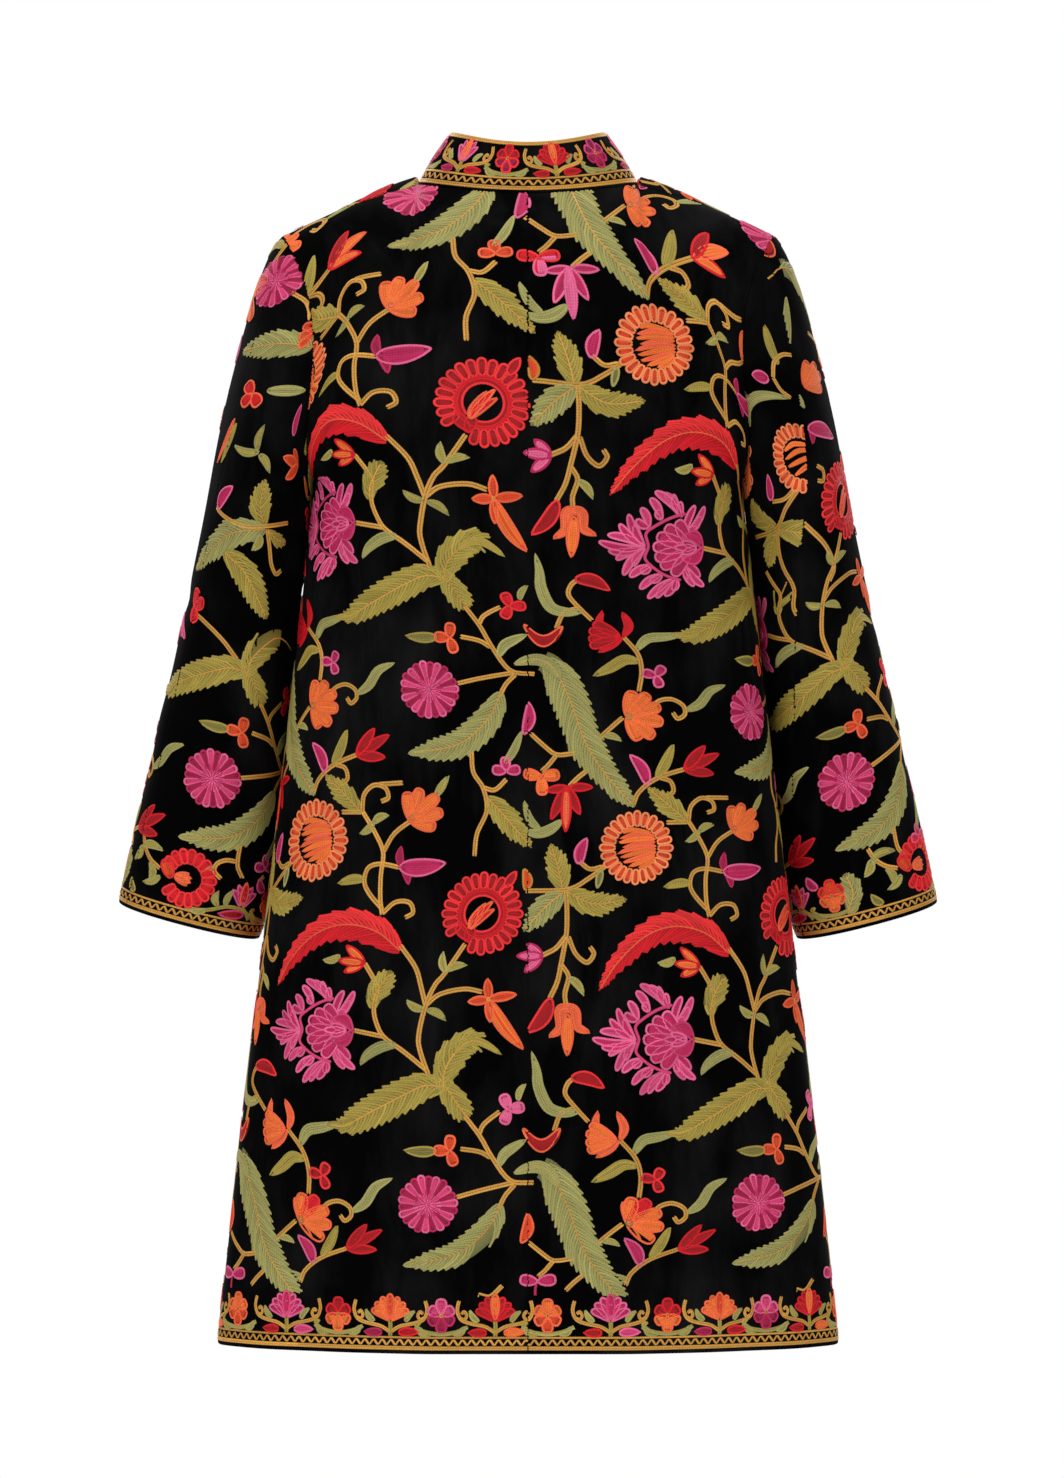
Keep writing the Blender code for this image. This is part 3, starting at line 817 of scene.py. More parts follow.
# %% The larger flowers
FEATHERS = (  # round the peony: each hand's root and the tips of its fingers, the last on top
    ((21, -11), ((7, -20), (-1, -39), (11, -40), (3, -30))),
    ((25, -29), ((28, -43), (54, -51), (36, -49), (45, -50))),
    ((45, -26), ((51, -35), (58, -45))),
    ((57, -18), ((71, -24), (66, -36))),
    ((60, 1), ((72, -20), (72, 20), (78, -29), (81, 30), (86, -19), (88, 15), (95, 8), (96, -8), (104, 0))),
    ((54, 18), ((65, 26), (75, 31))),
    ((43, 26), ((56, 35), (65, 43))),
    ((29, 30), ((32, 44), (57, 53), (40, 50), (49, 52))),
    ((22, 14), ((18, 32), (-1, 39), (3, 29), (10, 39))),
)
FAN = ((30, -26), (33, 28), (42, -20), (45, 20), (50, -11), (51, 11), (53, 0))


def peony(base, facing):
    """Hands of narrow fingers round an arc, a fan of round petals inside it, and a small tulip at its heart."""
    put = lambda *points: turned(facing, points, base)
    for root, tips in FEATHERS:
        for k, tip in enumerate(tips):
            ends = put(root, tip)
            petal(ends[0], ends[1], 8.6, "pink", "rose" if k % 2 else "magenta", "finger", 0.07 * (-1) ** k, 1)
    arc = put((21, -32), (36, -28), (51, -20), (60, -12), (57, 0), (60, 12), (48, 23), (36, 29), (24, 32))
    stitch(route(arc), "rose", 1.5, 4)
    for tip in FAN:
        ends = put((13, 0), tip)
        petal(ends[0], ends[1], 14.0, "pink", "magenta", "round", 0, 5)
    for across in (-11, 11):
        ends = put((0, 0), (25, across))
        petal(ends[0], ends[1], 12.0, "rose", "magenta", "pointed", 0.02 * across, 7)
    for tip in ((25, -6), (25, 6), (33, 0)):
        ends = put((7, 0), tip)
        petal(ends[0], ends[1], 8.4, "pink", "magenta", "pointed", 0, 9)


def daisy(at, r=31, count=22):
    for k in range(count):
        ends = turned(360 / count * (k + 0.3), [(2, 0), (r - (k % 3) * 0.7, 0)], at)
        light = k % 2 == 0
        edge, fill = ("pink", "rose") if light else MAGENTA
        petal(ends[0], ends[1], 9.4, edge, fill, "spoke", 0, 2)
    eye_stitch(at, "pink", 1.2)


def wheel(at, r_out, r_in, count, edge, fill, rim, opening=None, gap=0):
    """A ring of round petals, as a wheel, with a dark rim inside."""
    for k in range(count):
        angle = 360 / count * k
        if opening is not None and abs((angle - opening + 180) % 360 - 180) < gap / 2:
            continue
        ends = turned(angle, [(r_in, 0), (r_out - (k % 2) * 0.7, 0)], at)
        petal(ends[0], ends[1], 2 * math.pi * (r_out - 4) / count * 1.03, edge, fill, "wedge", 0, 2)
    if rim:
        ring_row(at, r_in - 0.6, rim, layer=4)


def star_flower(at, tips, long_tip, edge="coral", fill="orange"):
    for tip in tips:
        petal(at, tip, 9.5, edge, "deep_orange", "pointed", 0, 2)
    petal(at, long_tip, 14.5, edge, fill, "pointed", -0.06, 2, rib="deep_orange")
    eye_stitch(at)


def tulip(base, tips, width, edge, fill, kind="pointed"):
    for i, tip in enumerate(tips):
        petal(base, tip, width, edge, fill, kind, 0, 2 + 2 * (i == len(tips) // 2))


# %% [markdown]
# Now the repeat itself, 335 by 505 steps. Each flower, leaf and stem stands where the real pattern has it,
# measured as a few places in steps from the repeat's corner, and is drawn anew by the helpers above.

# %% The chart of one repeat: the peony, the wheels and the plume
REPEAT = (335.0, 505.0)
rows.clear()
stem((69, 463), (100, 457))
peony((69, 463), 180)
stem((140, -18), (153, -7), (177, -2), (195, -5))
star_flower((201, -12), [(200, 9), (180, -15), (229, -6), (202, -35)], (233, -58))
stem((177, 43), (157, 13), (148, 2), (140, -18), (134, -47), (135, -62), (141, -84))
blade((158, 15), (155, 36), 8)
blade((160, 17), (180, 22), 8)
blade((138, -22), (121, -12), 8)
blade((142, -22), (160, -33), 8)

at = (193, 73)
wheel(at, 42, 25, 24, "coral_red", "crimson", "red", opening=235, gap=34)
petal((215, 99), (226, 116), 10, "coral_red", "crimson", "pointed", 0, 3)
for r, tone in ((22.4, "red"), (20.2, "crimson"), (18.2, "coral_red")):
    ring_row(at, r, tone, 250, 580, layer=2)
petal((180, 47), (168, 62), 12, "red", "crimson", "round", 0, 3)
petal((178, 45), (184, 60), 12, "red", "crimson", "round", 0, 3)
for tip, wide in (((190, 78), 8), ((197, 84), 9), ((204, 86), 8), ((206, 78), 8)):
    petal((181, 58), tip, wide, "coral", "red", "bud", 0.04, 5)

leaf([(447, 36), (420, 56), (387, 63), (357, 54), (329, 30), (308, 2)], 30, "coral_red", slant=24, tooth=9.0,
     tip=0.72, stalk=0.34, upper="red", rib="coral")
stem((446, 42), (463, 20), (470, 0), (475, -18))
tulip((78, 25), [(57, 43), (50, 28), (57, 16)], 9.5, "red", "orange")
blade((52, 32), (33, 28), 8)
stem((78, 25), (88, 10), (93, -2), (90, -18), (92, -32), (100, -48), (120, -63), (140, -80))
leaf([(89, -20), (90, -8), (97, 4), (106, 17)], 24, "olive", tooth=9, tip=0.5)
reed([(113, -56), (98, -58), (84, -66), (76, -76)], 11)
print("rows", len(rows))

# %% The great forked leaf and the stems below it
leaf([(156, 410), (137, 411), (119, 403), (83, 384), (56, 370), (38, 370)], 29, "olive", tooth=9, tip=0.50,
     stalk=0.30, tongue=0.12)
leaf([(154, 406), (156, 424), (166, 440), (180, 452), (194, 451), (211, 441)], 26, "olive", tooth=8,
     tip=0.66, stalk=0.40, tongue=0.30)
leaf([(150, 420), (160, 404), (176, 380)], 24, "olive", tooth=9, tip=0.30, stalk=0.40)
stem((173, 383), (188, 363), (200, 342), (218, 319), (242, 316))
stem((187, 365), (192, 375), (208, 387))
clover((217, 389), (112, 10, -112), "coral_red", "red", 16, 12)
blade((226, 398), (234, 415), 7)
stem((198, 342), (187, 348), (168, 351))
clover((157, 349), (84, 178, -70), "coral", "deep_orange", 16, 11.5)
blade((144, 349), (111, 349), 11, "olive", 0.03)
reed([(206, 333), (212, 345), (222, 352), (234, 359)], 10.5)
stem((164, 303), (190, 310), (222, 317))
daisy((135, 295), 31)
leaf([(208, 295), (199, 275), (184, 256), (160, 239), (112, 228)], 29, "sage", tooth=9, tip=0.58,
     stalk=0.34, tongue=0.10)
stem((223, 315), (213, 304), (207, 292))
stem((176, 234), (177, 213), (187, 197), (191, 175), (182, 152), (181, 130))
stem((187, 198), (199, 196), (211, 207))
clover((211, 215), (95, 175, 10), "pink", "magenta", 15, 11)
reed([(209, 222), (219, 236), (228, 256)], 8.5)
leaf([(191, 188), (208, 172), (240, 139)], 25, "olive", tooth=12, tip=0.72, stalk=0.40)
print("rows", len(rows))

# %% The great curved leaf and what hangs from it
leaf([(222, 326), (243, 332), (260, 323), (277, 288), (293, 243), (317, 208), (341, 183)], 36, "sage", tooth=10,
     tip=0.56, stalk=0.46, neck=0.14)
stem((283, 235), (263, 233), (250, 242), (237, 254))
petal((230, 253), (236, 287), 13, "pink", "magenta", "pointed", -0.10, 2)
stem((263, 233), (254, 222), (247, 216))
clover((247, 211), (172, 8, -86), "coral", "orange", 19, 12.5)
stem((293, 218), (283, 210), (275, 202))
petal((274, 201), (251, 197), 9, "red", "crimson", "pointed", 0, 2)
petal((274, 201), (299, 202), 9, "red", "crimson", "pointed", 0, 2)
for tip, inner in (((257, 168), "crimson"), ((286, 174), "crimson"), ((272, 156), "coral")):
    petal((272, 202), tip, 11, "red", inner, "pointed", 0, 2 if inner == "crimson" else 4)
reed([(268, 168), (256, 158), (243, 154), (230, 157)], 10.5)
reed([(247, 158), (236, 168), (229, 186)], 8.5)
reed([(286, 390), (270, 388), (256, 393), (247, 412), (245, 430), (241, 446)], 12, "sage", 0.40, 0.60)
stem((296, 380), (284, 393), (273, 407), (275, 418), (281, 424))
petal((279, 425), (312, 416), 14, "coral_red", "crimson", "bud", 0.12, 2)
stem((283, 394), (269, 387), (262, 368))
petal((231, 369), (269, 370), 14, "coral", "crimson", "crescent", -0.44, 2)
reed([(316, 362), (303, 375), (305, 392)], 8.5, "red", 0.5, 0.55)
reed([(327, 362), (331, 376), (324, 392)], 9.5, "red", 0.5, 0.55)
reed([(326, 362), (317, 352), (304, 342)], 8.5, "red", 0.5, 0.55)
for tip in ((297, 378), (295, 348), (293, 368), (293, 357)):
    petal((323, 362), tip, 12.5, "red", "crimson", "round", 0, 4)
print("rows", len(rows))

# %% The orange flower, the curls and the bell at the repeat's edge
stem((327, 362), (342, 343), (347, 323), (345, 300))
reed([(340, 347), (350, 362), (366, 366), (386, 371)], 11)
reed([(344, 334), (330, 335), (316, 325), (300, 315)], 12.5, "olive")
clover((361, 320), (60, 170, -70), "pink", "magenta", 14, 11)
for tip in ((339, 301), (355, 299), (367, 287), (370, 270), (361, 253), (346, 249)):
    petal((334, 273), tip, 15, "coral", "orange", "round", 0, 2)
eye_stitch((336, 273), "moss", 3.4)
eye_stitch((336, 273), "olive", 1.4)
stem((330, 272), (319, 262), (306, 250))
blade((311, 253), (329, 248), 7)
stem((358, 285), (366, 293), (378, 296), (389, 291), (391, 282), (384, 276), (379, 282))
reed([(392, 286), (406, 296), (417, 312), (434, 321)], 10.5)
stem((339, 185), (345, 198), (363, 212), (392, 224))
tulip((391, 223), [(423, 223), (412, 252), (428, 246)], 11.5, "red", "crimson")
reed([(363, 213), (372, 228), (380, 248)], 11, "olive")
petal((354, 206), (336, 235), 13, "pink", "magenta", "bud", -0.10, 2)
stem((366, 213), (377, 210), (380, 200), (372, 194), (367, 199))
leaf([(394, 169), (381, 181), (353, 203)], 22, "olive", tooth=12, tip=0.80)
print("rows", len(rows))

# %% The branch with the half-open flower and the magenta bell
stem((373, 168), (395, 169))
stem((396, 168), (398, 185), (409, 195), (421, 193), (424, 184), (416, 180))
stem((414, 196), (440, 199))
stem((396, 170), (410, 150), (419, 132), (418, 110), (420, 87), (424, 72))
blade((408, 160), (393, 148), 8)
blade((408, 160), (425, 168), 8)
stem((419, 132), (430, 150), (449, 164))
for tip in ((444, 191), (458, 195), (476, 189), (481, 173), (474, 158)):
    petal((447, 163), tip, 14, "coral", "orange", "round", 0, 2)
eye_stitch((449, 166), "moss", 2.6)
blade((473, 188), (487, 209), 8, bend=0)
stem((424, 77), (408, 92), (401, 104), (404, 117), (417, 121), (438, 118))
petal((438, 118), (487, 123), 18, "pink", "magenta", "bud", -0.04, 3)
petal((440, 118), (438, 139), 9, "magenta", "crimson_pink", "pointed", 0.1, 2)
petal((440, 119), (449, 101), 9, "magenta", "crimson_pink", "pointed", 0.1, 2)
reed([(401, 106), (388, 106), (373, 102)], 9.5, "olive")
stem((424, 73), (436, 84), (451, 84), (456, 74), (448, 69))
print("rows", len(rows))

# %% The orange wheel and the cluster of leaves that hangs from it
at = (343, 142)
wheel(at, 38, 22, 24, "apricot", "deep_orange", None)
for strand in (  # the strands inside it, combed over from its right side
    ((14, 15), (-6, 18), (-15, 15)), ((18, 12), (0, 14), (-17, 9)), ((19, 9), (0, 9), (-18, 5)),
    ((19, 6), (4, 5), (-14, 0)), ((20, 2), (4, 1), (-9, -2), (-19, -6)), ((20, -1), (4, -4), (-16, -10)),
    ((20, -4), (6, -9), (-13, -15)), ((19, -7), (8, -13), (-7, -19)), ((19, -9), (13, -16), (3, -20)),
):
    reed([(at[0] + x, at[1] + y) for x, y in strand], 5.2, "orange" if strand[0][1] % 2 else "coral", 0.30, 0.35, 3)
stem((312, 123), (297, 111), (277, 99), (236, 96))
petal((237, 97), (233, 119), 11, "ochre", "deep_orange", "bud", -0.1, 2)
petal((286, 125), (293, 152), 12, "pink", "magenta", "bud", 0.08, 2)
stem((286, 128), (297, 120), (310, 123))
petal((308, 119), (305, 100), 7.5, "sage", "moss", "bud", 0, 2)
leaf([(272, 98), (267, 118), (258, 145)], 24, "olive", tooth=11, tip=0.72, stalk=0.42)
leaf([(275, 97), (302, 85), (336, 90)], 25, "olive", tooth=11, tip=0.75, stalk=0.42)
leaf([(273, 96), (257, 81), (235, 55)], 25, "sage", tooth=11, tip=0.72, stalk=0.42)
stem((275, 98), (277, 77), (277, 53), (272, 25), (268, 8), (260, -8))
petal((262, -8), (237, -42), 14, "coral_red", "crimson", "bud", 0.08, 2)
stem((272, 25), (279, 14), (275, -2), (276, -14))
reed([(281, -14), (270, -18), (269, -34), (258, -43)], 10.5, "coral", 0.30, 0.50)
reed([(273, -14), (284, -17), (286, -31), (298, -36)], 10.5, "coral", 0.30, 0.50)
petal((277, -20), (275, -60), 12.5, "coral", "orange", "pointed", 0, 4)
blade((280, 13), (294, -3), 8)
stem((277, 53), (267, 40), (253, 32))
tulip((254, 32), [(238, 44), (228, 31), (236, 15)], 10.5, "magenta", "pink")
stem((279, 52), (286, 36), (297, 28), (304, 36), (300, 43))
repeat_rows = list(rows)
sewn_length = sum(np.linalg.norm(np.diff(row[0], axis=0), axis=1).sum() for row in repeat_rows)
print("rows in a repeat", len(repeat_rows), "length", round(sewn_length * STEP), "m")

# %% [markdown]
# The borders are charted in the same steps: round, and up from the cloth's edge. Two gold rows with a
# zigzag between them make the band. On it stand lotus flowers and six-petalled rosettes in turn, joined by
# a low vine, with curled tendrils between and two small lozenge leaves at each lotus's foot.

# %% Band, lotus, rosette and vine
LOTUS = {
    "magenta": ("pink", "magenta", "rose", "magenta"),
    "orange": ("coral", "orange", "coral", "deep_orange"),
    "red": ("red", "crimson", "coral", "orange"),
}


def band(start, end, low, high, colour="gold", wave=9.0):
    """Straight rows above and below, with a low wave between them that a hand has drawn."""
    xs = np.arange(start, end + 4, 5.0)
    for y in (low, low + 1.9, high):
        stitch(np.stack([xs, np.full(len(xs), y)], -1), colour, 1.05, 1)
    xs = np.arange(start, end + wave / 6, wave / 6)
    turn = (xs - start) / wave * 2 * math.pi
    tall = (high - low) / 2 - 3.2
    zigzag = np.stack([xs, (low + high) / 2 + 0.9 + tall * np.sin(turn)], -1)
    stitch(zigzag, colour, 1.05 + 0.15 * np.cos(turn * 3), 2)


def lotus(at, tones, size=1.0, count=7, spread=118):
    edge, fill, heart_edge, heart = tones
    order = sorted(range(count), key=lambda k: -abs(k - (count - 1) / 2))
    for k in order:
        f = (k - (count - 1) / 2) / ((count - 1) / 2)
        ends = turned(90 - f * spread / 2, [(1.5, 0), ((28 - 5 * abs(f)) * size, 0)], at)
        outer, inner, layer = (heart_edge, heart, 4) if k == (count - 1) / 2 else (edge, fill, 2)
        petal(ends[0], ends[1], 10 * size, outer, inner, "bud" if count < 7 else "finger", 0.10 * f, layer)


def rosette(at, upper, lower, size=1.0):
    for k in range(6):
        angle = 90 + 60 * k
        long = (17.5 if k % 3 == 0 else 15) * size
        edge, fill = upper if k in (0, 1, 5) else lower
        ends = turned(angle, [(1.5, 0), (long, 0)], at)
        petal(ends[0], ends[1], 12 * size, edge, fill, "round", 0, 2)
    eye_stitch(at, "ochre", 1.5)


def foot(x, y, left, right, size=1.0):
    """What stands round a lotus: its stem, side leaves, two lozenges and the tendrils."""
    def at(*points):
        return [(x + a * size, y + b * size) for a, b in points]

    stem(*at((0, 0), (0.4, 8), (0, 16)), colour="olive", half=1.1, apart=1.1)
    blade(*at((-17, 15), (-26, 27)), 6.5 * size)
    blade(*at((16, 15), (26, 26)), 6.5 * size)
    for points, tones in ((at((-9, 4), (-28, 4)), left), (at((9, 4), (31, 4.5)), right)):
        petal(points[0], points[1], 9.5 * size, tones[0], tones[1], "lance", 0.02, 2)
    for s in (-1, 1):
        stem(*at((0, 4), (s * 10, 10), (s * 24, 13), (s * 34, 17), (s * 38, 26), (s * 36, 36)), half=0.95, apart=0.95)
        stem(*at((s * 35, 19), (s * 31, 17), (s * 28.5, 21), (s * 31, 25), (s * 34, 22.5)), half=0.9, apart=0.8)


def vine(x, y, size=1.0):
    """The low vine with its leaves, under a rosette."""
    def at(*points):
        return [(x + a * size, y + b * size) for a, b in points]

    low = route(at((-27, 9), (-17, 4), (0, 1.5), (16, 4), (27, 9)))
    stitch(low, "sage", 1.3, 1)
    stitch(beside(low, 1.9), "olive", 1.1, 1)
    blade(*at((-24, 9), (-9, 1)), 7.5 * size, bend=-0.15)
    blade(*at((24, 9), (9, 2)), 7.0 * size, bend=0.15)
    blade(*at((-26, 10), (-20, 14.5)), 4.8 * size, "olive")


# %% The hem's border, one repeat wide
rows.clear()
HEM_LINE = 16.5
band(-3, 338, 5.0, HEM_LINE, wave=335 / 37)
for x, tones, left, right in ((-15, "magenta", RED, PINK), (98, "orange", MAGENTA, RED), (204, "red", RED, ORANGE)):
    foot(x, HEM_LINE + 1, left, right)
    lotus((x, HEM_LINE + 16), LOTUS[tones])
for x, upper, lower in ((43, RED, ORANGE), (150, PINK, MAGENTA), (257, ORANGE, DARK_ORANGE)):
    vine(x, HEM_LINE + 1)
    rosette((x, HEM_LINE + 22), upper, lower)
hem_rows = list(rows)

# %% The collar's border, one repeat wide
rows.clear()
COLLAR_REPEAT = 200.0
COLLAR_LINE = 14.5
band(-2, 202, 3.6, COLLAR_LINE, wave=200 / 22)
for y in (50.2, 52.2):
    stitch([(x, y) for x in range(-2, 204, 5)], "gold", 1.05, 1)
for x, tones, left, right in ((28, "red", RED, RED), (128, "magenta", MAGENTA, RED)):
    foot(x, COLLAR_LINE + 1, left, right, 0.84)
    if tones == "red":
        lotus((x, COLLAR_LINE + 12), LOTUS["red"], 0.92)
    else:
        lotus((x, COLLAR_LINE + 12), ("pink", "magenta", "coral", "orange"), 0.92, 5, 76)
for x, upper, lower in ((78, PLUM, MAGENTA), (178, RED, ("coral_red", "crimson_pink"))):
    vine(x, COLLAR_LINE + 1, 0.84)
    rosette((x, COLLAR_LINE + 20), upper, lower, 0.90)
collar_rows = list(rows)

# %% The cuffs' border, once for each half of the sleeve
rows.clear()
CUFF_REPEAT = 205.0
CUFF_LINE = 16.5
band(-3, 208, 5.0, CUFF_LINE, wave=205 / 23)
heart = (60, CUFF_LINE + 32)
for k in range(15):
    angle = 150 - k * 20.4
    ends = turned(angle, [(15, 0), (31, 0)], heart)
    petal(ends[0], ends[1], 10.8, "coral_red", "red", "wedge", 0, 2)


def from_heart(*places):
    """Places across and up from the ring flower's heart."""
    return [(heart[0] + x, heart[1] + y) for x, y in places]


def over_band(*places):
    """Places across from the heart and up from the band."""
    return [(heart[0] + x, CUFF_LINE + y) for x, y in places]


petal(*from_heart((-17, -4), (-27, 14)), 15, "coral_red", "deep_orange", "round", 0, 2)
for angle in (-24, -8, 8, 24):
    ends = turned(angle, [(0, 0), (19 - abs(angle) / 8, 0)], *from_heart((-13, -1)))
    petal(ends[0], ends[1], 7, "coral", "orange", "bud", 0, 3)
stem(*from_heart((-31, 2), (-44, 8), (-54, 18), (-60, 31)))
blade(*from_heart((-58, 20), (-30, 21)), 9)
blade(*from_heart((-58, 18), (-68, 2)), 10, bend=0.12)
blade(*from_heart((-38, -12), (-45, 6)), 9, bend=-0.16)
blade(*from_heart((-29, -6), (-48, -17)), 8)

# %% The rest of the cuffs' border
blade(*over_band((-56, 3), (-66, 16)), 9, "olive")
stem(*over_band((4, 2), (26, 5), (46, 13), (62, 13), (78, 6)), half=1.0, apart=1.0, colour="olive")
stem(*over_band((34, 40), (26, 46), (27, 54), (36, 60), (48, 61)))
blade(*over_band((26, 5), (8, 1)), 6.5)
blade(*over_band((36, 12), (34, 28)), 8, bend=0.2)
blade(*over_band((44, 14), (50, 32)), 7)
petal(*over_band((66, 8), (38, 4)), 10, "rose", "crimson", "lance", 0, 2)
lotus(*over_band((62, 16)), ("pink", "magenta", "coral", "red"), 0.95, 5, 84)
stem(*over_band((62, 16), (70, 9), (74, 3)), half=1.0, apart=1.0, colour="olive")
rosette(*over_band((100, 24)), ("coral_red", "deep_orange"), ("coral", "orange"), 1.02)
vine(*over_band((100, 1))[0])
petal(*over_band((86, 34), (76, 48)), 11, "pink", "magenta", "bud", 0.1, 2)
leaf(over_band((112, 4), (122, 22), (118, 44)), 20, "sage", tooth=8)
cuff_rows = list(rows)
print("border rows", len(hem_rows), len(collar_rows), len(cuff_rows))

# %% [markdown]
# The sleeves carry the same repeat, but on the back of each upper arm other flowers show. Those are placed
# one by one, in steps round from the line that faces straight back and up from the cuff. Their places were
# read off the photo and turned into steps.

# %% The repeat on a sleeve, without what its own flowers take the place of
SLEEVE_START = {"right": (-129.0, -141.5), "left": (-139.0, -140.0)}
OWN = {"right": (-95, 362, 125, 720), "left": (-125, 300, 85, 720)}  # left, low, right, high
WHEEL_BOX = (148, 12, 242, 125)  # on the right sleeve the repeat's red wheel stays


def sleeve_repeat(side):
    x0, y0, x1, y1 = OWN[side]
    out = []
    for i in (-2, -1, 0, 1):
        for j in (0, 1):
            move = np.array((SLEEVE_START[side][0] + i * REPEAT[0], SLEEVE_START[side][1] + j * REPEAT[1], 0.0))
            for p, colour, layer in repeat_rows:
                at = p[:, :2].mean(0)
                x, y = at + move[:2]
                in_wheel = WHEEL_BOX[0] < at[0] < WHEEL_BOX[2] and WHEEL_BOX[1] < at[1] < WHEEL_BOX[3]
                if not (x0 < x < x1 and y0 < y < y1) or (side == "right" and (i, j) == (0, 1) and in_wheel):
                    out.append((p + move, colour, layer))
    return out


# %% The left sleeve's own flowers
rows.clear()
daisy((-106, 664), 31)
stem((-80, 658), (-60, 655), (-48, 648), (-38, 638))
for tip in ((-37, 642), (-40, 630), (-36, 617), (-28, 607)):
    petal((-14, 634), tip, 13, "coral", "deep_orange", "round", 0, 2)
leaf([(-30, 655), (-44, 668), (-60, 688)], 20, "olive", tooth=11, tip=0.7)
leaf([(-8, 612), (-30, 610), (-57, 604), (-104, 584)], 31, "sage", tooth=10, tip=0.62, stalk=0.40)
clover((-54, 548), (150, 238, 330), "coral", "red", 18, 15)
reed([(-38, 556), (-10, 562), (24, 567)], 12, "sage")
petal((34, 520), (29, 553), 14, "pink", "magenta", "bud", 0.05, 2)
reed([(-66, 518), (-70, 495), (-79, 468)], 9.5, "coral")
reed([(-60, 514), (-62, 492), (-67, 470)], 9.5, "olive")
blade((-15, 494), (-50, 492), 9)
blade((-18, 496), (-21, 523), 9)
blade((-13, 492), (6, 476), 9)
tulip((64, 493), [(20, 496), (30, 475), (42, 507)], 12, "coral", "deep_orange")
petal((-47, 426), (-33, 453), 15, "pink", "magenta", "bud", 0.10, 2)
stem((-52, 426), (-41, 422), (-13, 417), (13, 423), (41, 432))
leaf([(10, 424), (3, 440), (2, 470)], 25, "olive", tooth=11, tip=0.72, stalk=0.42)
leaf([(12, 420), (-25, 404), (-78, 355)], 29, "sage", tooth=11, tip=0.60, stalk=0.36)
leaf([(-30, 386), (-2, 369), (27, 329)], 30, "olive", tooth=9, tip=0.60, stalk=0.36)
blade((8, 412), (1, 394), 9)
leaf([(16, 418), (28, 412), (42, 410)], 16, "olive", tooth=11, tip=0.6)
stem((14, 420), (20, 401), (24, 386), (31, 377), (38, 382))
clover((-64, 320), (20, 100, -60), "coral_red", "red", 19, 15)
stem((2, 281), (-16, 296), (-40, 308), (-60, 314))
left_rows = sleeve_repeat("left") + list(rows)
print("rows", len(rows))

# %% The right sleeve's own flowers, on each side of its back seam
rows.clear()
reed([(41, 602), (45, 622), (54, 644)], 11, "olive")
stem((26, 590), (38, 605), (55, 611), (71, 605), (75, 596), (68, 590))
stem((26, 590), (28, 576), (36, 566))
reed([(-68, 546), (-50, 565), (-20, 574), (10, 573), (34, 566)], 12, "sage")
petal((19, 591), (-6, 597), 15, "pink", "magenta", "bud", 0, 2)
wheel((17, 504), 38, 22, 24, "apricot", "deep_orange", None)
for strand in (
    ((30, 516), (14, 520), (0, 515)), ((34, 510), (16, 512), (-2, 506)),
    ((34, 504), (16, 502), (-1, 498)), ((34, 500), (18, 494), (4, 488)),
):
    reed(strand, 5.2, "orange", 0.30, 0.35, 3)
petal((-32, 467), (-37, 495), 13, "pink", "magenta", "bud", 0, 2)
stem((-31, 465), (-14, 466), (0, 475))
stem((4, 474), (-14, 456), (-30, 434), (-66, 423))
leaf([(-30, 436), (-58, 447), (-87, 469)], 24, "olive", tooth=11, tip=0.70, stalk=0.42)
leaf([(-29, 434), (-4, 428), (24, 420)], 30, "olive", tooth=10, tip=0.50, stalk=0.42)
leaf([(-30, 430), (-40, 415), (-47, 392)], 24, "olive", tooth=11, tip=0.70, stalk=0.42)
stem((-29, 432), (-30, 410), (-26, 392), (-18, 368), (-20, 346), (-4, 318), (10, 288))
right_under_rows = sleeve_repeat("right") + list(rows)

rows.clear()
reed([(58, 611), (78, 636), (101, 666)], 11, "sage")
for tip in ((82, 594), (97, 584), (101, 569), (92, 556)):
    petal((60, 573), tip, 15, "coral", "orange", "round", 0, 2)
reed([(34, 566), (44, 567), (47, 552)], 9, "sage")
petal((40, 531), (82, 501), 18, "pink", "magenta", "bud", 0.04, 3)
petal((42, 531), (38, 512), 9, "magenta", "crimson_pink", "pointed", 0.1, 2)
stem((33, 489), (40, 480), (36, 470), (28, 474))
stem((-6, 452), (10, 424), (25, 398), (29, 376), (21, 364))
right_upper_rows = sleeve_repeat("right") + list(rows)
print("rows on a sleeve", len(left_rows), len(right_under_rows), len(right_upper_rows))

# %% [markdown]
# A row is laid on the cloth by looking up where its flat place falls on the sheet's grid. Rows that run
# over a seam are cut there, as the cloth was. Each row becomes a low ridge, three points across, with its
# crest standing off the velvet, and its ends drawn in.

# %% From the flat chart to the hanging cloth
MARGIN = 0.0004  # a row stops this far from a cut edge


def looked_up(grid, r, c):
    i = np.clip(np.floor(r).astype(int), 0, grid.shape[0] - 2)
    j = np.clip(np.floor(c).astype(int), 0, grid.shape[1] - 2)
    f, g = r - i, c - j
    if grid.ndim == 3:
        f, g = f[:, None], g[:, None]
    here, beyond = grid[i, j] * (1 - f) + grid[i + 1, j] * f, grid[i, j + 1] * (1 - f) + grid[i + 1, j + 1] * f
    return here * (1 - g) + beyond * g


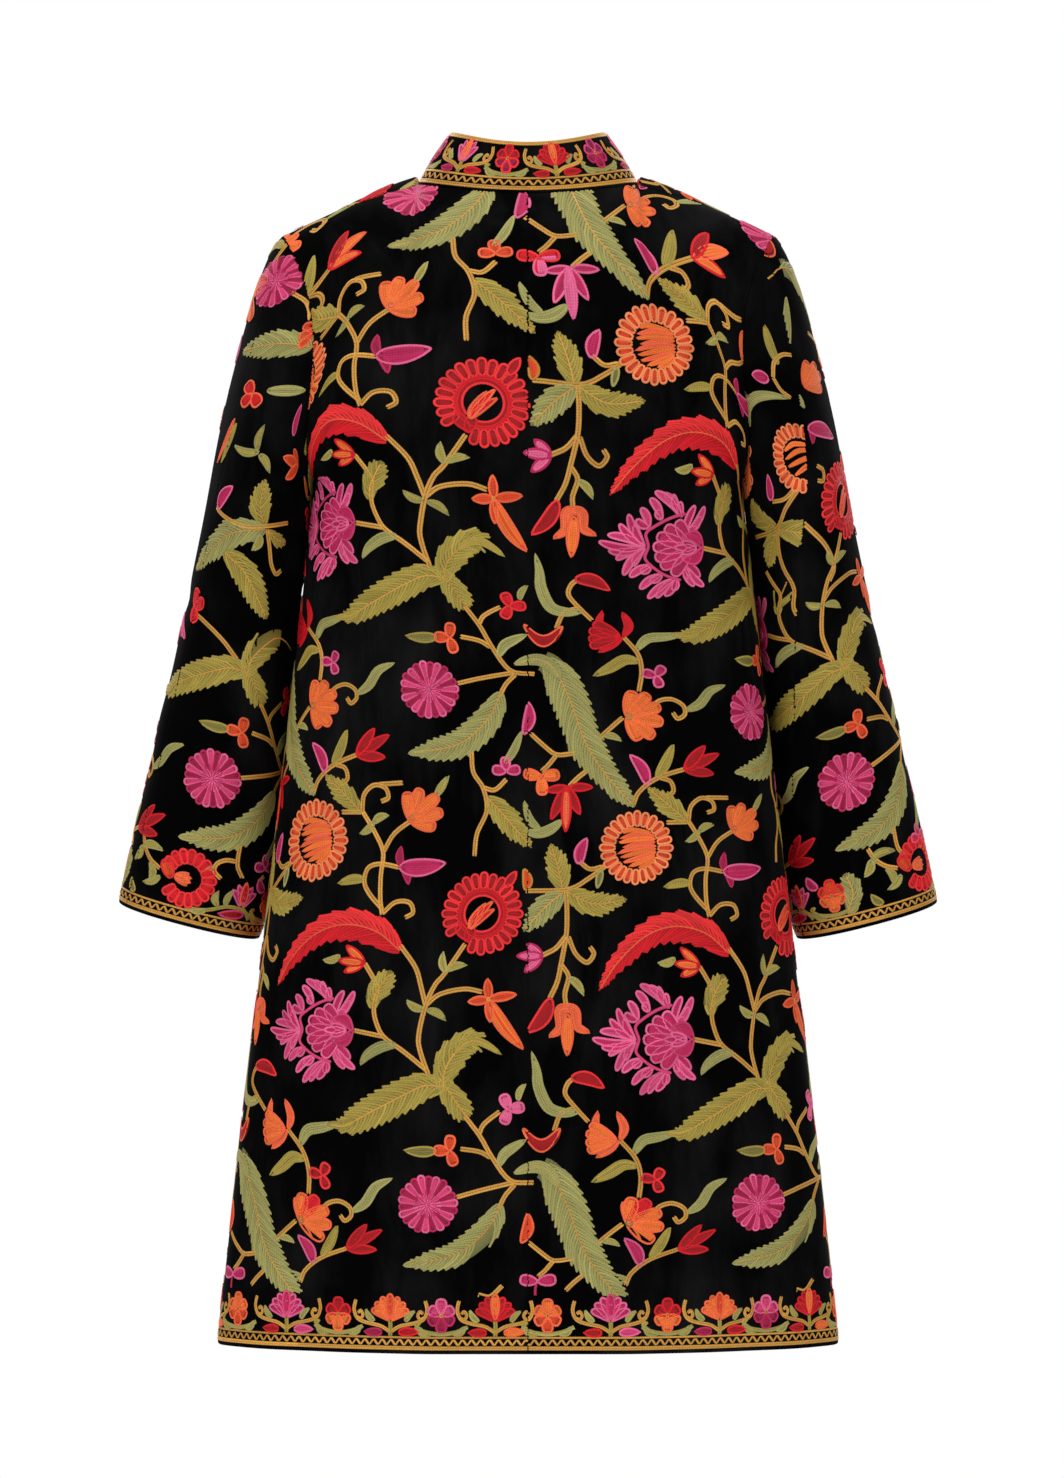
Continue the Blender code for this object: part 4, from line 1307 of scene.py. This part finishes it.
def located(sheet, flat):
    """The grid's row and column at flat places, and whether they lie on the cloth."""
    x, y = flat[:, 0], flat[:, 1]
    around, up = sheet["around"], sheet["up"]
    tall, wide = around.shape
    r = np.interp(y, up[:, wide // 2], np.arange(tall))
    c = np.zeros_like(r)
    for _ in range(2):
        near = np.rint(r).astype(int)
        for k in np.unique(near):
            m = near == k
            c[m] = np.interp(x[m], around[k], np.arange(wide))
        near = np.rint(c).astype(int)
        for k in np.unique(near):
            m = near == k
            r[m] = np.interp(y[m], up[:, k], np.arange(tall))
    for _ in range(4):
        a0, u0 = looked_up(around, r, c), looked_up(up, r, c)
        h = 0.02
        rr, cc = np.minimum(r + h, tall - 1.001), np.minimum(c + h, wide - 1.001)
        over, across = np.maximum(rr - r, 1e-6), np.maximum(cc - c, 1e-6)
        ar, ac = (looked_up(around, rr, c) - a0) / over, (looked_up(around, r, cc) - a0) / across
        ur, uc = (looked_up(up, rr, c) - u0) / over, (looked_up(up, r, cc) - u0) / across
        det = ac * ur - ar * uc
        ok = np.abs(det) > 1e-12
        det = np.where(ok, det, 1)
        dx, dy = x - a0, y - u0
        dc, dr = (dx * ur - dy * ar) / det, (dy * ac - dx * uc) / det
        r = np.clip(np.where(ok, r + np.clip(dr, -1, 1), r), 0, tall - 1.001)
        c = np.clip(np.where(ok, c + np.clip(dc, -1, 1), c), 0, wide - 1.001)
    first = looked_up(around, r, np.zeros_like(c))
    last = looked_up(around, r, np.full_like(c, wide - 1.001))
    top = looked_up(up, np.full_like(r, tall - 1.001), c)
    on = (x > first + MARGIN) & (x < last - MARGIN) & (y > MARGIN) & (y < top - MARGIN)
    return r, c, on


# %% Rows with as few points as they need
def thinned(points, slack=0.11, reach=6.5):
    """Drops the points that a row can do without."""
    keep = [0]
    while keep[-1] < len(points) - 1:
        a = keep[-1]
        b = a + 1
        while b + 1 < len(points):
            chord = points[b + 1] - points[a]
            size = math.hypot(chord[0], chord[1])
            if size > reach or size < 1e-6:
                break
            rest = points[a + 1 : b + 1] - points[a]
            away = np.abs(rest[:, 0] * -chord[1] + rest[:, 1] * chord[0]) / size
            fat = np.abs(rest[:, 2] - chord[2] * (rest[:, 0] * chord[0] + rest[:, 1] * chord[1]) / size**2)
            if away.max() > slack or fat.max() > 0.35:
                break
            b += 1
        keep.append(b)
    return points[keep]


def pulled_through(points, gap=1.0):
    """The same row with a point at every step."""
    far = np.concatenate([[0], np.cumsum(np.linalg.norm(np.diff(points[:, :2], axis=0), axis=1))])
    at = np.linspace(0, far[-1], max(2, int(far[-1] / gap) + 1))
    return np.stack([np.interp(at, far, points[:, k]) for k in (0, 1, 2)], -1)


def drawn_in(p):
    """Rounds off a row's two ends: one more point near each, and a narrow end."""
    for k, near in ((0, 1), (-1, -2)):
        step = p[near] - p[k]
        size = math.hypot(step[0], step[1])
        if size > 2.6:
            extra = p[k] + step * 1.3 / size
            p = np.insert(p, 1 if k == 0 else len(p) - 1, extra, axis=0)
    p = p.copy()
    p[[0, -1], 2] *= 0.45
    return p


# %% [markdown]
# The repeats aren't all alike. In the upper one and the lowest one a few flowers have other colours, and
# above the hem some stand higher or are missing, so that they don't run into the border.

# %% What changes from repeat to repeat
def changed(chart, changes):
    """The chart with a few flowers in other colours, moved or left out. A change is a box of steps, with
    the colours that change, the move in steps, or None for both to leave out what is in the box."""
    out = []
    for p, colour, layer in chart:
        x, y = p[:, :2].mean(0)
        kept = True
        for (x0, y0, x1, y1), other, move in changes:
            if x0 < x < x1 and y0 < y < y1:
                kept = kept and other is not None
                if other is not None:
                    colour = other.get(colour, colour)
                    p = p + np.array((*move, 0.0))
        if kept:
            out.append((p, colour, layer))
    return out


TO_PINK = {"red": "pink", "coral_red": "pink", "coral": "pink", "crimson": "magenta", "orange": "magenta"}
TO_RED = {"pink": "coral_red", "magenta": "crimson", "coral": "coral_red", "orange": "red"}
TO_ORANGE = {"red": "coral", "crimson": "orange", "pink": "coral", "magenta": "deep_orange"}
REPEAT_CHANGES = {  # by the repeat's place up the coat
    1: (
        ((195, 195, 228, 235), TO_ORANGE, (0, 0)), ((228, 195, 262, 230), TO_RED, (0, 0)),
        ((245, 150, 305, 212), TO_PINK, (0, 0)), ((405, 215, 435, 260), TO_ORANGE, (0, 0)),
    ),
    -1: (
        ((285, 338, 335, 396), TO_ORANGE, (0, 0)), ((200, 376, 232, 405), TO_PINK, (0, 0)),
        ((345, 305, 378, 336), TO_RED, (0, 0)), ((228, 195, 262, 230), TO_PINK, (0, 0)),
        ((222, 248, 245, 292), TO_ORANGE, (0, 0)), ((340, 285, 372, 303), TO_RED, (0, 0)),
        ((334, 188, 440, 262), {}, (-4, 22)), ((340, 150, 500, 205), None, None), ((180, 130, 245, 192), None, None),
        ((245, 140, 305, 205), None, None), ((65, 140, 160, 200), None, None), ((180, 205, 226, 262), None, None),
    ),
}


# %% Rows cut at the seams
SPILL = 700  # how far a chart's motifs may reach past its own repeat, in steps


def cut_rows(sheet, charts):
    """Every row of the charts that lies on the sheet, in metres, cut at its seams."""
    found = []
    low_x, high_x, high_y = sheet["around"].min(), sheet["around"].max(), sheet["up"].max()
    for chart, tile, origin, floor in charts:
        slim = [(thinned(p), colour, layer) for p, colour, layer in chart]
        low, high = (low_x / STEP, 0), (high_x / STEP, high_y / STEP)
        first = [math.floor((low[k] - origin[k] - SPILL) / tile[k]) if tile[k] else 0 for k in (0, 1)]
        last = [math.ceil((high[k] - origin[k] + SPILL) / tile[k]) if tile[k] else 0 for k in (0, 1)]
        batch = []
        for i in range(first[0], last[0] + 1):
            for j in range(first[1], last[1] + 1):
                shift = np.array((origin[0] + i * tile[0], origin[1] + j * tile[1], 0.0))
                here = changed(slim, REPEAT_CHANGES[j]) if tile[1] and j in REPEAT_CHANGES else slim
                for p, colour, layer in here:
                    a, b = (p[:, :2].min(0) + shift[:2]) * STEP, (p[:, :2].max(0) + shift[:2]) * STEP
                    if b[0] > low_x and a[0] < high_x and b[1] > floor and a[1] < high_y:
                        batch.append((p + shift, colour, layer))
        for again in (False, True):
            if not batch:
                break
            where = np.concatenate([p[:, :2] for p, *_ in batch]) * STEP
            on = located(sheet, where)[2] & (where[:, 1] > floor)
            at, partly = 0, []
            for p, colour, layer in batch:
                mask = on[at : at + len(p)]
                at += len(p)
                if mask.all():
                    found.append((p, colour, layer))
                elif not again:
                    if mask.any() or np.linalg.norm(p[-1] - p[0]) > 8:
                        partly.append((pulled_through(p), colour, layer))
                else:
                    edges = np.flatnonzero(np.diff(np.concatenate([[0], mask.astype(int), [0]])))
                    for s, e in zip(edges[::2], edges[1::2]):
                        if e - s >= 2:
                            found.append((thinned(p[s:e]), colour, layer + 0.5))
            batch = partly
    return found


# %% [markdown]
# The silk has about twenty colours. They are given as they look, and turned to the linear values that
# Blender works with.

# %% Colours of the thread
def linear(r, g, b):
    return tuple(((v / 255 + 0.055) / 1.055) ** 2.4 for v in (r, g, b))


THREAD = {
    "gold": linear(206, 150, 66),
    "ochre": linear(192, 134, 44),
    "sage": linear(158, 153, 88),
    "olive": linear(166, 146, 62),
    "moss": linear(122, 114, 54),
    "apricot": linear(244, 136, 82),
    "ochre_dark": linear(116, 96, 36),
    "red": linear(212, 12, 28),
    "crimson": linear(164, 4, 18),
    "coral_red": linear(236, 44, 46),
    "coral": linear(240, 100, 58),
    "orange": linear(238, 112, 44),
    "deep_orange": linear(214, 66, 26),
    "pink": linear(226, 96, 142),
    "rose": linear(206, 58, 108),
    "magenta": linear(186, 30, 84),
    "crimson_pink": linear(154, 16, 62),
    "plum": linear(128, 24, 66),
}
GOLDEN = ("gold", "ochre")
print(len(THREAD), "colours of thread")


# %% [markdown]
# A mesh keeps each row's colour on its points, with painted shade on each ridge's two edges, and two maps: one that
# runs along the row, for the stitches, and one on which each row has a strip of its own, for baking its colours.

# %% Rows become ridges
CREST, LAYER_RISE = 0.00052, 0.00013
STITCH_LONG = 0.0021
BAKE_STRIP, BAKE_HALF, BAKE_GAP = 3.4, 1.2, 1.5  # a row's strip on the flat sheet, in steps


def bake_places(long):
    """Where each row begins on a square sheet, on which rows lie end to end in strips, and its side."""
    side = max(math.sqrt(long.sum() * BAKE_STRIP) * 1.05, long.max() + 2)
    begin, shelf = np.zeros(len(long)), np.zeros(len(long))
    x = y = 0.0
    for i in np.argsort(-long):
        if x + long[i] + BAKE_GAP > side:
            x, y = 0.0, y + BAKE_STRIP
        begin[i], shelf[i] = x + 0.7, y + BAKE_STRIP / 2
        x += long[i] + BAKE_GAP
    return begin, shelf, max(side, y + BAKE_STRIP)


def sewn(name, sheet, charts):
    """One mesh with every row on a sheet."""
    laid = cut_rows(sheet, charts)
    dice = np.random.default_rng(sum(map(ord, name)))
    spine, side_, half_, lift, tint, along, strips, gold = [], [], [], [], [], [], [], []
    for p, colour, layer in laid:
        if layer >= 0 and layer % 1 == 0:  # a row cut at a seam keeps its full width there
            p = drawn_in(p)
        n = len(p)
        shade = np.exp(dice.normal(0, 0.09)) * (1 + dice.normal(0, 0.03, n))
        # painted shade: padding shows only in the gaps between rows, and is dimmed to 0.55 there
        if layer < 0:
            shade = np.full(n, 0.55)
        spine.append(p[:, :2])
        side_.append(sideways(p))
        half_.append(p[:, 2])
        crest = CREST * (p[:, 2] / ROW if layer >= 0 else np.full(n, 0.45))
        lift.append(crest + max(layer, 0) * LAYER_RISE + abs(dice.normal(0, 0.00004)))
        tint.append(np.array(THREAD[colour])[None, :] * shade[:, None])
        along.append(np.concatenate([[0], np.cumsum(np.linalg.norm(np.diff(p[:, :2], axis=0), axis=1))]))
        strips.append(n)
        gold.append(colour in GOLDEN)
    spine, side_ = np.concatenate(spine), np.concatenate(side_)
    half_, lift, tint, along = map(np.concatenate, (half_, lift, tint, along))
    flat = np.concatenate([spine + side_ * half_[:, None], spine, spine - side_ * half_[:, None]]) * STEP
    r, c, _ = located(sheet, flat)
    place, normal = looked_up(sheet["points"], r, c), looked_up(sheet["normal"], r, c)
    count = len(spine)
    sunk = np.maximum(lift - CREST * 0.92, 0.00005)
    off = np.concatenate([sunk, lift, sunk])
    place = place + normal * off[:, None]

    strips = np.array(strips)
    ends = np.cumsum(strips)
    not_last = np.ones(count, bool)
    not_last[ends - 1] = False
    k = np.flatnonzero(not_last)
    left = np.stack([k, k + count, k + count + 1, k + 1], -1)
    right = np.stack([k + count, k + 2 * count, k + 2 * count + 1, k + count + 1], -1)
    quads = np.concatenate([left, right])[:, ::-1]
    mesh = bpy.data.meshes.new(name)
    mesh.vertices.add(3 * count)
    mesh.vertices.foreach_set("co", place.astype(np.float32).ravel())
    mesh.loops.add(quads.size)
    mesh.loops.foreach_set("vertex_index", quads.astype(np.int32).ravel())
    mesh.polygons.add(len(quads))
    mesh.polygons.foreach_set("loop_start", np.arange(0, quads.size, 4, dtype=np.int32))
    strip_of = np.repeat(np.arange(len(strips)), strips)
    metal = np.array(gold)[strip_of[k]]
    mesh.polygons.foreach_set("material_index", np.concatenate([metal, metal]).astype(np.int32))
    mesh.update(calc_edges=True)

    colour = mesh.color_attributes.new("thread", "FLOAT_COLOR", "POINT")
    colour_with_edge_shade = np.ones((3 * count, 4), np.float32)
    # painted shade: each ridge's two edge points get 0.64 of the row's colour, so rows look darker where they meet
    colour_with_edge_shade[:, :3] = np.clip(np.concatenate([tint * 0.64, tint, tint * 0.64]), 0, 1)
    colour.data.foreach_set("color", colour_with_edge_shade.ravel())
    across = np.concatenate([np.full(count, -1.0), np.zeros(count), np.ones(count)])
    stitch_at = np.stack([np.concatenate([along] * 3) * STEP / STITCH_LONG, across], -1)
    layer_ = mesh.uv_layers.new(name="stitch")
    layer_.data.foreach_set("uv", stitch_at[quads.ravel()].astype(np.float32).ravel())
    begin, shelf, side_long = bake_places(along[ends - 1])
    u = (begin[strip_of] + along) / side_long
    v0 = shelf[strip_of] / side_long
    half_strip = BAKE_HALF / side_long
    bake = np.stack([np.concatenate([u] * 3), np.concatenate([v0 + half_strip, v0, v0 - half_strip])], -1)
    layer_ = mesh.uv_layers.new(name="OFBake")
    layer_.data.foreach_set("uv", bake[quads.ravel()].astype(np.float32).ravel())
    thing = bpy.data.objects.new(name, mesh)
    scene.collection.objects.link(thing)
    mesh.shade_smooth()
    return thing


# %% [markdown]
# Each material is a small tree of nodes round one Principled shader. Two helpers keep the trees short: one
# makes the material, the other adds a node with its settings and links.

# %% Two helpers for materials
def nodes_of(name):
    material = bpy.data.materials.new(name)
    material.use_nodes = True
    tree = material.node_tree
    return material, tree, tree.nodes["Principled BSDF"]


def linked(tree, kind, inputs=(), **settings):
    node = tree.nodes.new(kind)
    for key, value in settings.items():
        setattr(node, key, value)
    for key, value in inputs:
        if hasattr(value, "is_output"):
            tree.links.new(value, node.inputs[key])
        else:
            node.inputs[key].default_value = value
    return node


# %% [markdown]
# Velvet is nearly black, and shows its pile by a soft grey bloom where light grazes it. Its colour also carries painted
# sheen: faint lighter stripes and patches where the pile leans another way and would catch the light.

# %% Velvet
def velvet_material():
    material, tree, shader = nodes_of("black_velvet")
    place = linked(tree, "ShaderNodeTexCoord").outputs["Object"]
    nap = linked(tree, "ShaderNodeMapping", [("Vector", place), ("Scale", (22, 22, 6.5))])
    # painted sheen: stretched stripes times soft patches, made lighter in the base colour through the ramp below
    painted_sheen_streaks = linked(tree, "ShaderNodeTexNoise", [
        ("Vector", nap.outputs[0]), ("Scale", 1.0), ("Detail", 5.0), ("Roughness", 0.62), ("Distortion", 0.5)
    ])
    painted_sheen_patches = linked(tree, "ShaderNodeTexNoise", [
        ("Vector", place), ("Scale", 9.0), ("Detail", 3.0), ("Roughness", 0.5)
    ])
    both = linked(
        tree, "ShaderNodeMath", [(0, painted_sheen_streaks.outputs["Fac"]), (1, painted_sheen_patches.outputs["Fac"])], operation="MULTIPLY"
    )
    ramp = linked(tree, "ShaderNodeValToRGB", [("Fac", both.outputs[0])])
    ramp.color_ramp.elements[0].position, ramp.color_ramp.elements[0].color = 0.20, (0.0004, 0.0004, 0.0004, 1)
    ramp.color_ramp.elements[1].position, ramp.color_ramp.elements[1].color = 0.44, (0.0078, 0.0071, 0.0073, 1)
    tree.links.new(ramp.outputs["Color"], shader.inputs["Base Color"])
    pile = linked(tree, "ShaderNodeTexNoise", [("Vector", place), ("Scale", 1400.0), ("Detail", 2.0)])
    bump = linked(tree, "ShaderNodeBump", [("Height", pile.outputs["Fac"]), ("Strength", 0.35), ("Distance", 0.0004)])
    tree.links.new(bump.outputs["Normal"], shader.inputs["Normal"])
    shader.inputs["Roughness"].default_value = 0.95
    shader.inputs["Specular IOR Level"].default_value = 0.03
    shader.inputs["Sheen Weight"].default_value = 0.012
    shader.inputs["Sheen Roughness"].default_value = 0.35
    shader.inputs["Sheen Tint"].default_value = (0.75, 0.75, 0.80, 1)
    return material


velvet = velvet_material()
print(velvet.name, len(velvet.node_tree.nodes), "nodes")

# %% Lining
def lining_material():
    material, tree, shader = nodes_of("black_lining")
    place = linked(tree, "ShaderNodeTexCoord").outputs["Object"]
    weave = linked(tree, "ShaderNodeTexWave", [
        ("Vector", place), ("Scale", 900.0), ("Distortion", 1.0)
    ], bands_direction="DIAGONAL")
    cloudy = linked(tree, "ShaderNodeTexNoise", [("Vector", place), ("Scale", 30.0)])
    ramp = linked(tree, "ShaderNodeValToRGB", [("Fac", cloudy.outputs["Fac"])])
    ramp.color_ramp.elements[0].color = (0.006, 0.006, 0.007, 1)
    ramp.color_ramp.elements[1].color = (0.016, 0.015, 0.018, 1)
    tree.links.new(ramp.outputs["Color"], shader.inputs["Base Color"])
    bump = linked(tree, "ShaderNodeBump", [("Height", weave.outputs["Fac"]), ("Strength", 0.15), ("Distance", 0.0002)])
    tree.links.new(bump.outputs["Normal"], shader.inputs["Normal"])
    shader.inputs["Roughness"].default_value = 0.45
    return material


lining = lining_material()
print(lining.name, len(lining.node_tree.nodes), "nodes")

# %% [markdown]
# Silk thread is painted brighter on each stitch's back and darker where the needle went in, as painted highlight and
# painted shade on the stitches' bumps, and the gold thread has a little metal in it. The stitches lean, because the
# wave that makes them also reads how far off the row's middle a place lies.

# %% Thread
def thread_material(name, rough, metal, sheen):
    material, tree, shader = nodes_of(name)
    tint = linked(tree, "ShaderNodeVertexColor", layer_name="thread")
    stitch_map = linked(tree, "ShaderNodeUVMap", uv_map="stitch")
    split = linked(tree, "ShaderNodeSeparateXYZ", [("Vector", stitch_map.outputs["UV"])])
    side = linked(tree, "ShaderNodeMath", [(0, split.outputs["Y"])], operation="ABSOLUTE")
    loop = linked(
        tree, "ShaderNodeMath", [(0, side.outputs[0]), (1, 0.45), (2, split.outputs["X"])], operation="MULTIPLY_ADD"
    )
    turn = linked(tree, "ShaderNodeMath", [(0, loop.outputs[0]), (1, 2 * math.pi)], operation="MULTIPLY")
    wave = linked(tree, "ShaderNodeMath", [(0, turn.outputs[0])], operation="SINE")
    high = linked(tree, "ShaderNodeMapRange", [
        ("Value", wave.outputs[0]), ("From Min", -1.0), ("From Max", 0.2), ("To Min", 0.0), ("To Max", 1.0)
    ])
    place = linked(tree, "ShaderNodeTexCoord").outputs["Object"]
    strands = linked(tree, "ShaderNodeTexNoise", [("Vector", place), ("Scale", 1500.0), ("Detail", 2.0)])
    # painted shade and highlight: the colour runs from 0.88 where the needle went in to 1.03 on each stitch's back
    dark = linked(tree, "ShaderNodeMapRange", [("Value", high.outputs[0]), ("To Min", 0.88), ("To Max", 1.03)])
    grain = linked(tree, "ShaderNodeMapRange", [
        ("Value", strands.outputs["Fac"]), ("From Min", 0.3), ("From Max", 0.7), ("To Min", 0.82), ("To Max", 1.12)
    ])
    amount = linked(tree, "ShaderNodeMath", [(0, dark.outputs[0]), (1, grain.outputs[0])], operation="MULTIPLY")
    colour = linked(tree, "ShaderNodeVectorMath", [(0, tint.outputs["Color"])], operation="SCALE")
    tree.links.new(amount.outputs[0], colour.inputs["Scale"])
    tree.links.new(colour.outputs[0], shader.inputs["Base Color"])
    height = linked(tree, "ShaderNodeMath", [(0, high.outputs[0]), (1, strands.outputs["Fac"])], operation="ADD")
    bump = linked(tree, "ShaderNodeBump", [("Height", height.outputs[0]), ("Strength", 0.35), ("Distance", 0.00025)])
    tree.links.new(bump.outputs["Normal"], shader.inputs["Normal"])
    shader.inputs["Roughness"].default_value = rough
    shader.inputs["Metallic"].default_value = metal
    shader.inputs["Specular IOR Level"].default_value = 0.22
    shader.inputs["Sheen Weight"].default_value = sheen
    return material


silk = thread_material("silk_thread", 0.62, 0.0, 0.0)
gold_thread = thread_material("gold_thread", 0.48, 0.25, 0.0)
print("materials", ", ".join(m.name for m in (velvet, lining, silk, gold_thread)))

# %% [markdown]
# Each sheet starts as a grid, moved point by point to its place, and Solidify gives it the wall inwards. Its outer side
# and cut edges are velvet, its inner side the lining's cloth. The collar and the sleeves run on a little way inside
# their seams, as sewn cloth does, so that no light comes through.

# %% A sheet of velvet
LEAST_SHARE = 0.34
TUCK_ON, TUCK_IN = 0.0072, 0.0027  # how far they run on, and inwards


def tucked(points, normal, row, next_row):
    """One more edge row, which runs on under the cloth that the edge is sewn to."""
    on = points[row] - points[next_row]
    on = on / np.maximum(np.linalg.norm(on, axis=-1, keepdims=True), 1e-9)
    return (points[row] + TUCK_ON * on - TUCK_IN * normal[row])[None]


def velvet_sheet(sheet):
    points, normal = sheet["points"], sheet["normal"]
    a, b = points[1:, 1:] - points[:-1, :-1], points[1:, :-1] - points[:-1, 1:]
    area = float(np.linalg.norm(np.cross(a, b), axis=-1).sum() / 2)
    if sheet["name"] == "collar":
        points = np.concatenate([tucked(points, normal, 0, 1), points])
    elif sheet["name"].startswith("sleeve"):
        points = np.concatenate([points, tucked(points, normal, -1, -2)])
    tall, wide = points.shape[0] - 1, points.shape[1] - 1
    bpy.ops.mesh.primitive_grid_add(x_subdivisions=wide, y_subdivisions=tall, size=1)
    piece = bpy.context.object
    piece.name = piece.data.name = "velvet_" + sheet["name"]
    flat = np.empty(len(piece.data.vertices) * 3)
    piece.data.vertices.foreach_get("co", flat)
    flat = flat.reshape(-1, 3)
    column, row = (np.rint((flat[:, k] + 0.5) * n).astype(int) for k, n in ((0, wide), (1, tall)))
    piece.data.vertices.foreach_set("co", points[row, column].ravel())
    piece.data.materials.append(velvet)
    piece.data.materials.append(lining)
    piece.data.uv_layers.active.name = "OFBake"
    wall = piece.modifiers.new("wall", "SOLIDIFY")
    wall.thickness, wall.offset = WALL, -1
    wall.material_offset = 1
    wall.use_quality_normals = True
    bpy.ops.object.modifier_apply(modifier="wall")
    mesh = piece.data
    faces = tall * wide
    loops = np.empty(len(mesh.loops) * 2, np.float32)
    uv = mesh.uv_layers["OFBake"]
    uv.data.foreach_get("uv", loops)
    loops = loops.reshape(-1, 2)
    outer, inner, rim = slice(0, faces * 4), slice(faces * 4, faces * 8), slice(faces * 8, None)
    loops[outer] = loops[outer] * (0.48, 0.94) + (0.01, 0.01)
    loops[inner] = loops[inner] * (0.48, 0.94) + (0.51, 0.01)
    edge = (len(loops) - faces * 8) // 4
    k = np.arange(edge) / edge
    cell = 0.8 / edge
    along, across = np.stack([k, k + cell, k + cell, k], -1).ravel(), np.tile([0.97, 0.97, 0.99, 0.99], edge)
    loops[rim] = np.stack([along, across], -1)
    uv.data.foreach_set("uv", loops.ravel())
    mesh.shade_smooth()
    mesh.update()
    piece.select_set(False)
    return piece, area


def cut_size(sheet, area):
    """The flat sheet's width and length, from its widest row and its longest column. That one isn't measured."""
    wide = float(measured(sheet["points"], 1)[:, -1].max())
    long = float(measured(sheet["points"], 0)[-1].max())
    return min(wide, area / (LEAST_SHARE * long)), long


# %% [markdown]
# Then each sheet takes the place of its solid, and its embroidery is sewn on.

# %% Every sheet with its embroidery
# Where the repeat starts on each kind of sheet, in steps: the middle line and the lower edge
BODY_START, FRONT_START = (-237.0, 0.297 / STEP), (-237.0 - 167.5, 0.297 / STEP)
CUFF_START = {"right": 15.0, "left": -71.0}
FIELD_FROM, CUFF_FIELD_FROM = 58 * STEP, 62 * STEP

total = 0
for name, sheet in sheets.items():
    cloth_piece, area = velvet_sheet(sheet)
    if name.startswith(("back", "front")):
        start = BODY_START if name.startswith("back") else FRONT_START
        charts = [
            (repeat_rows, REPEAT, start, FIELD_FROM),
            (hem_rows, (REPEAT[0], 0), (start[0], 0), 0.0),
        ]
    elif name == "collar":
        charts = [(collar_rows, (COLLAR_REPEAT, 0), (0.0, 0), 0.0)]
    else:
        side = name.split("_")[1]
        own = left_rows if side == "left" else right_under_rows if name.endswith("under") else right_upper_rows
        charts = [
            (own, (0, 0), (0.0, 0.0), CUFF_FIELD_FROM),
            (cuff_rows, (CUFF_REPEAT, 0), (CUFF_START[side], 0), 0.0),
        ]
    sewing = sewn("embroidery_" + name, sheet, charts)
    sewing.data.materials.append(silk)
    sewing.data.materials.append(gold_thread)
    for thing in (cloth_piece, sewing):
        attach(thing, "root")
    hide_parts(name)
    wide, long = cut_size(sheet, area)
    tris = len(sewing.data.polygons) * 2
    total += tris + len(cloth_piece.data.polygons) * 2
print("in all", total, "triangles")
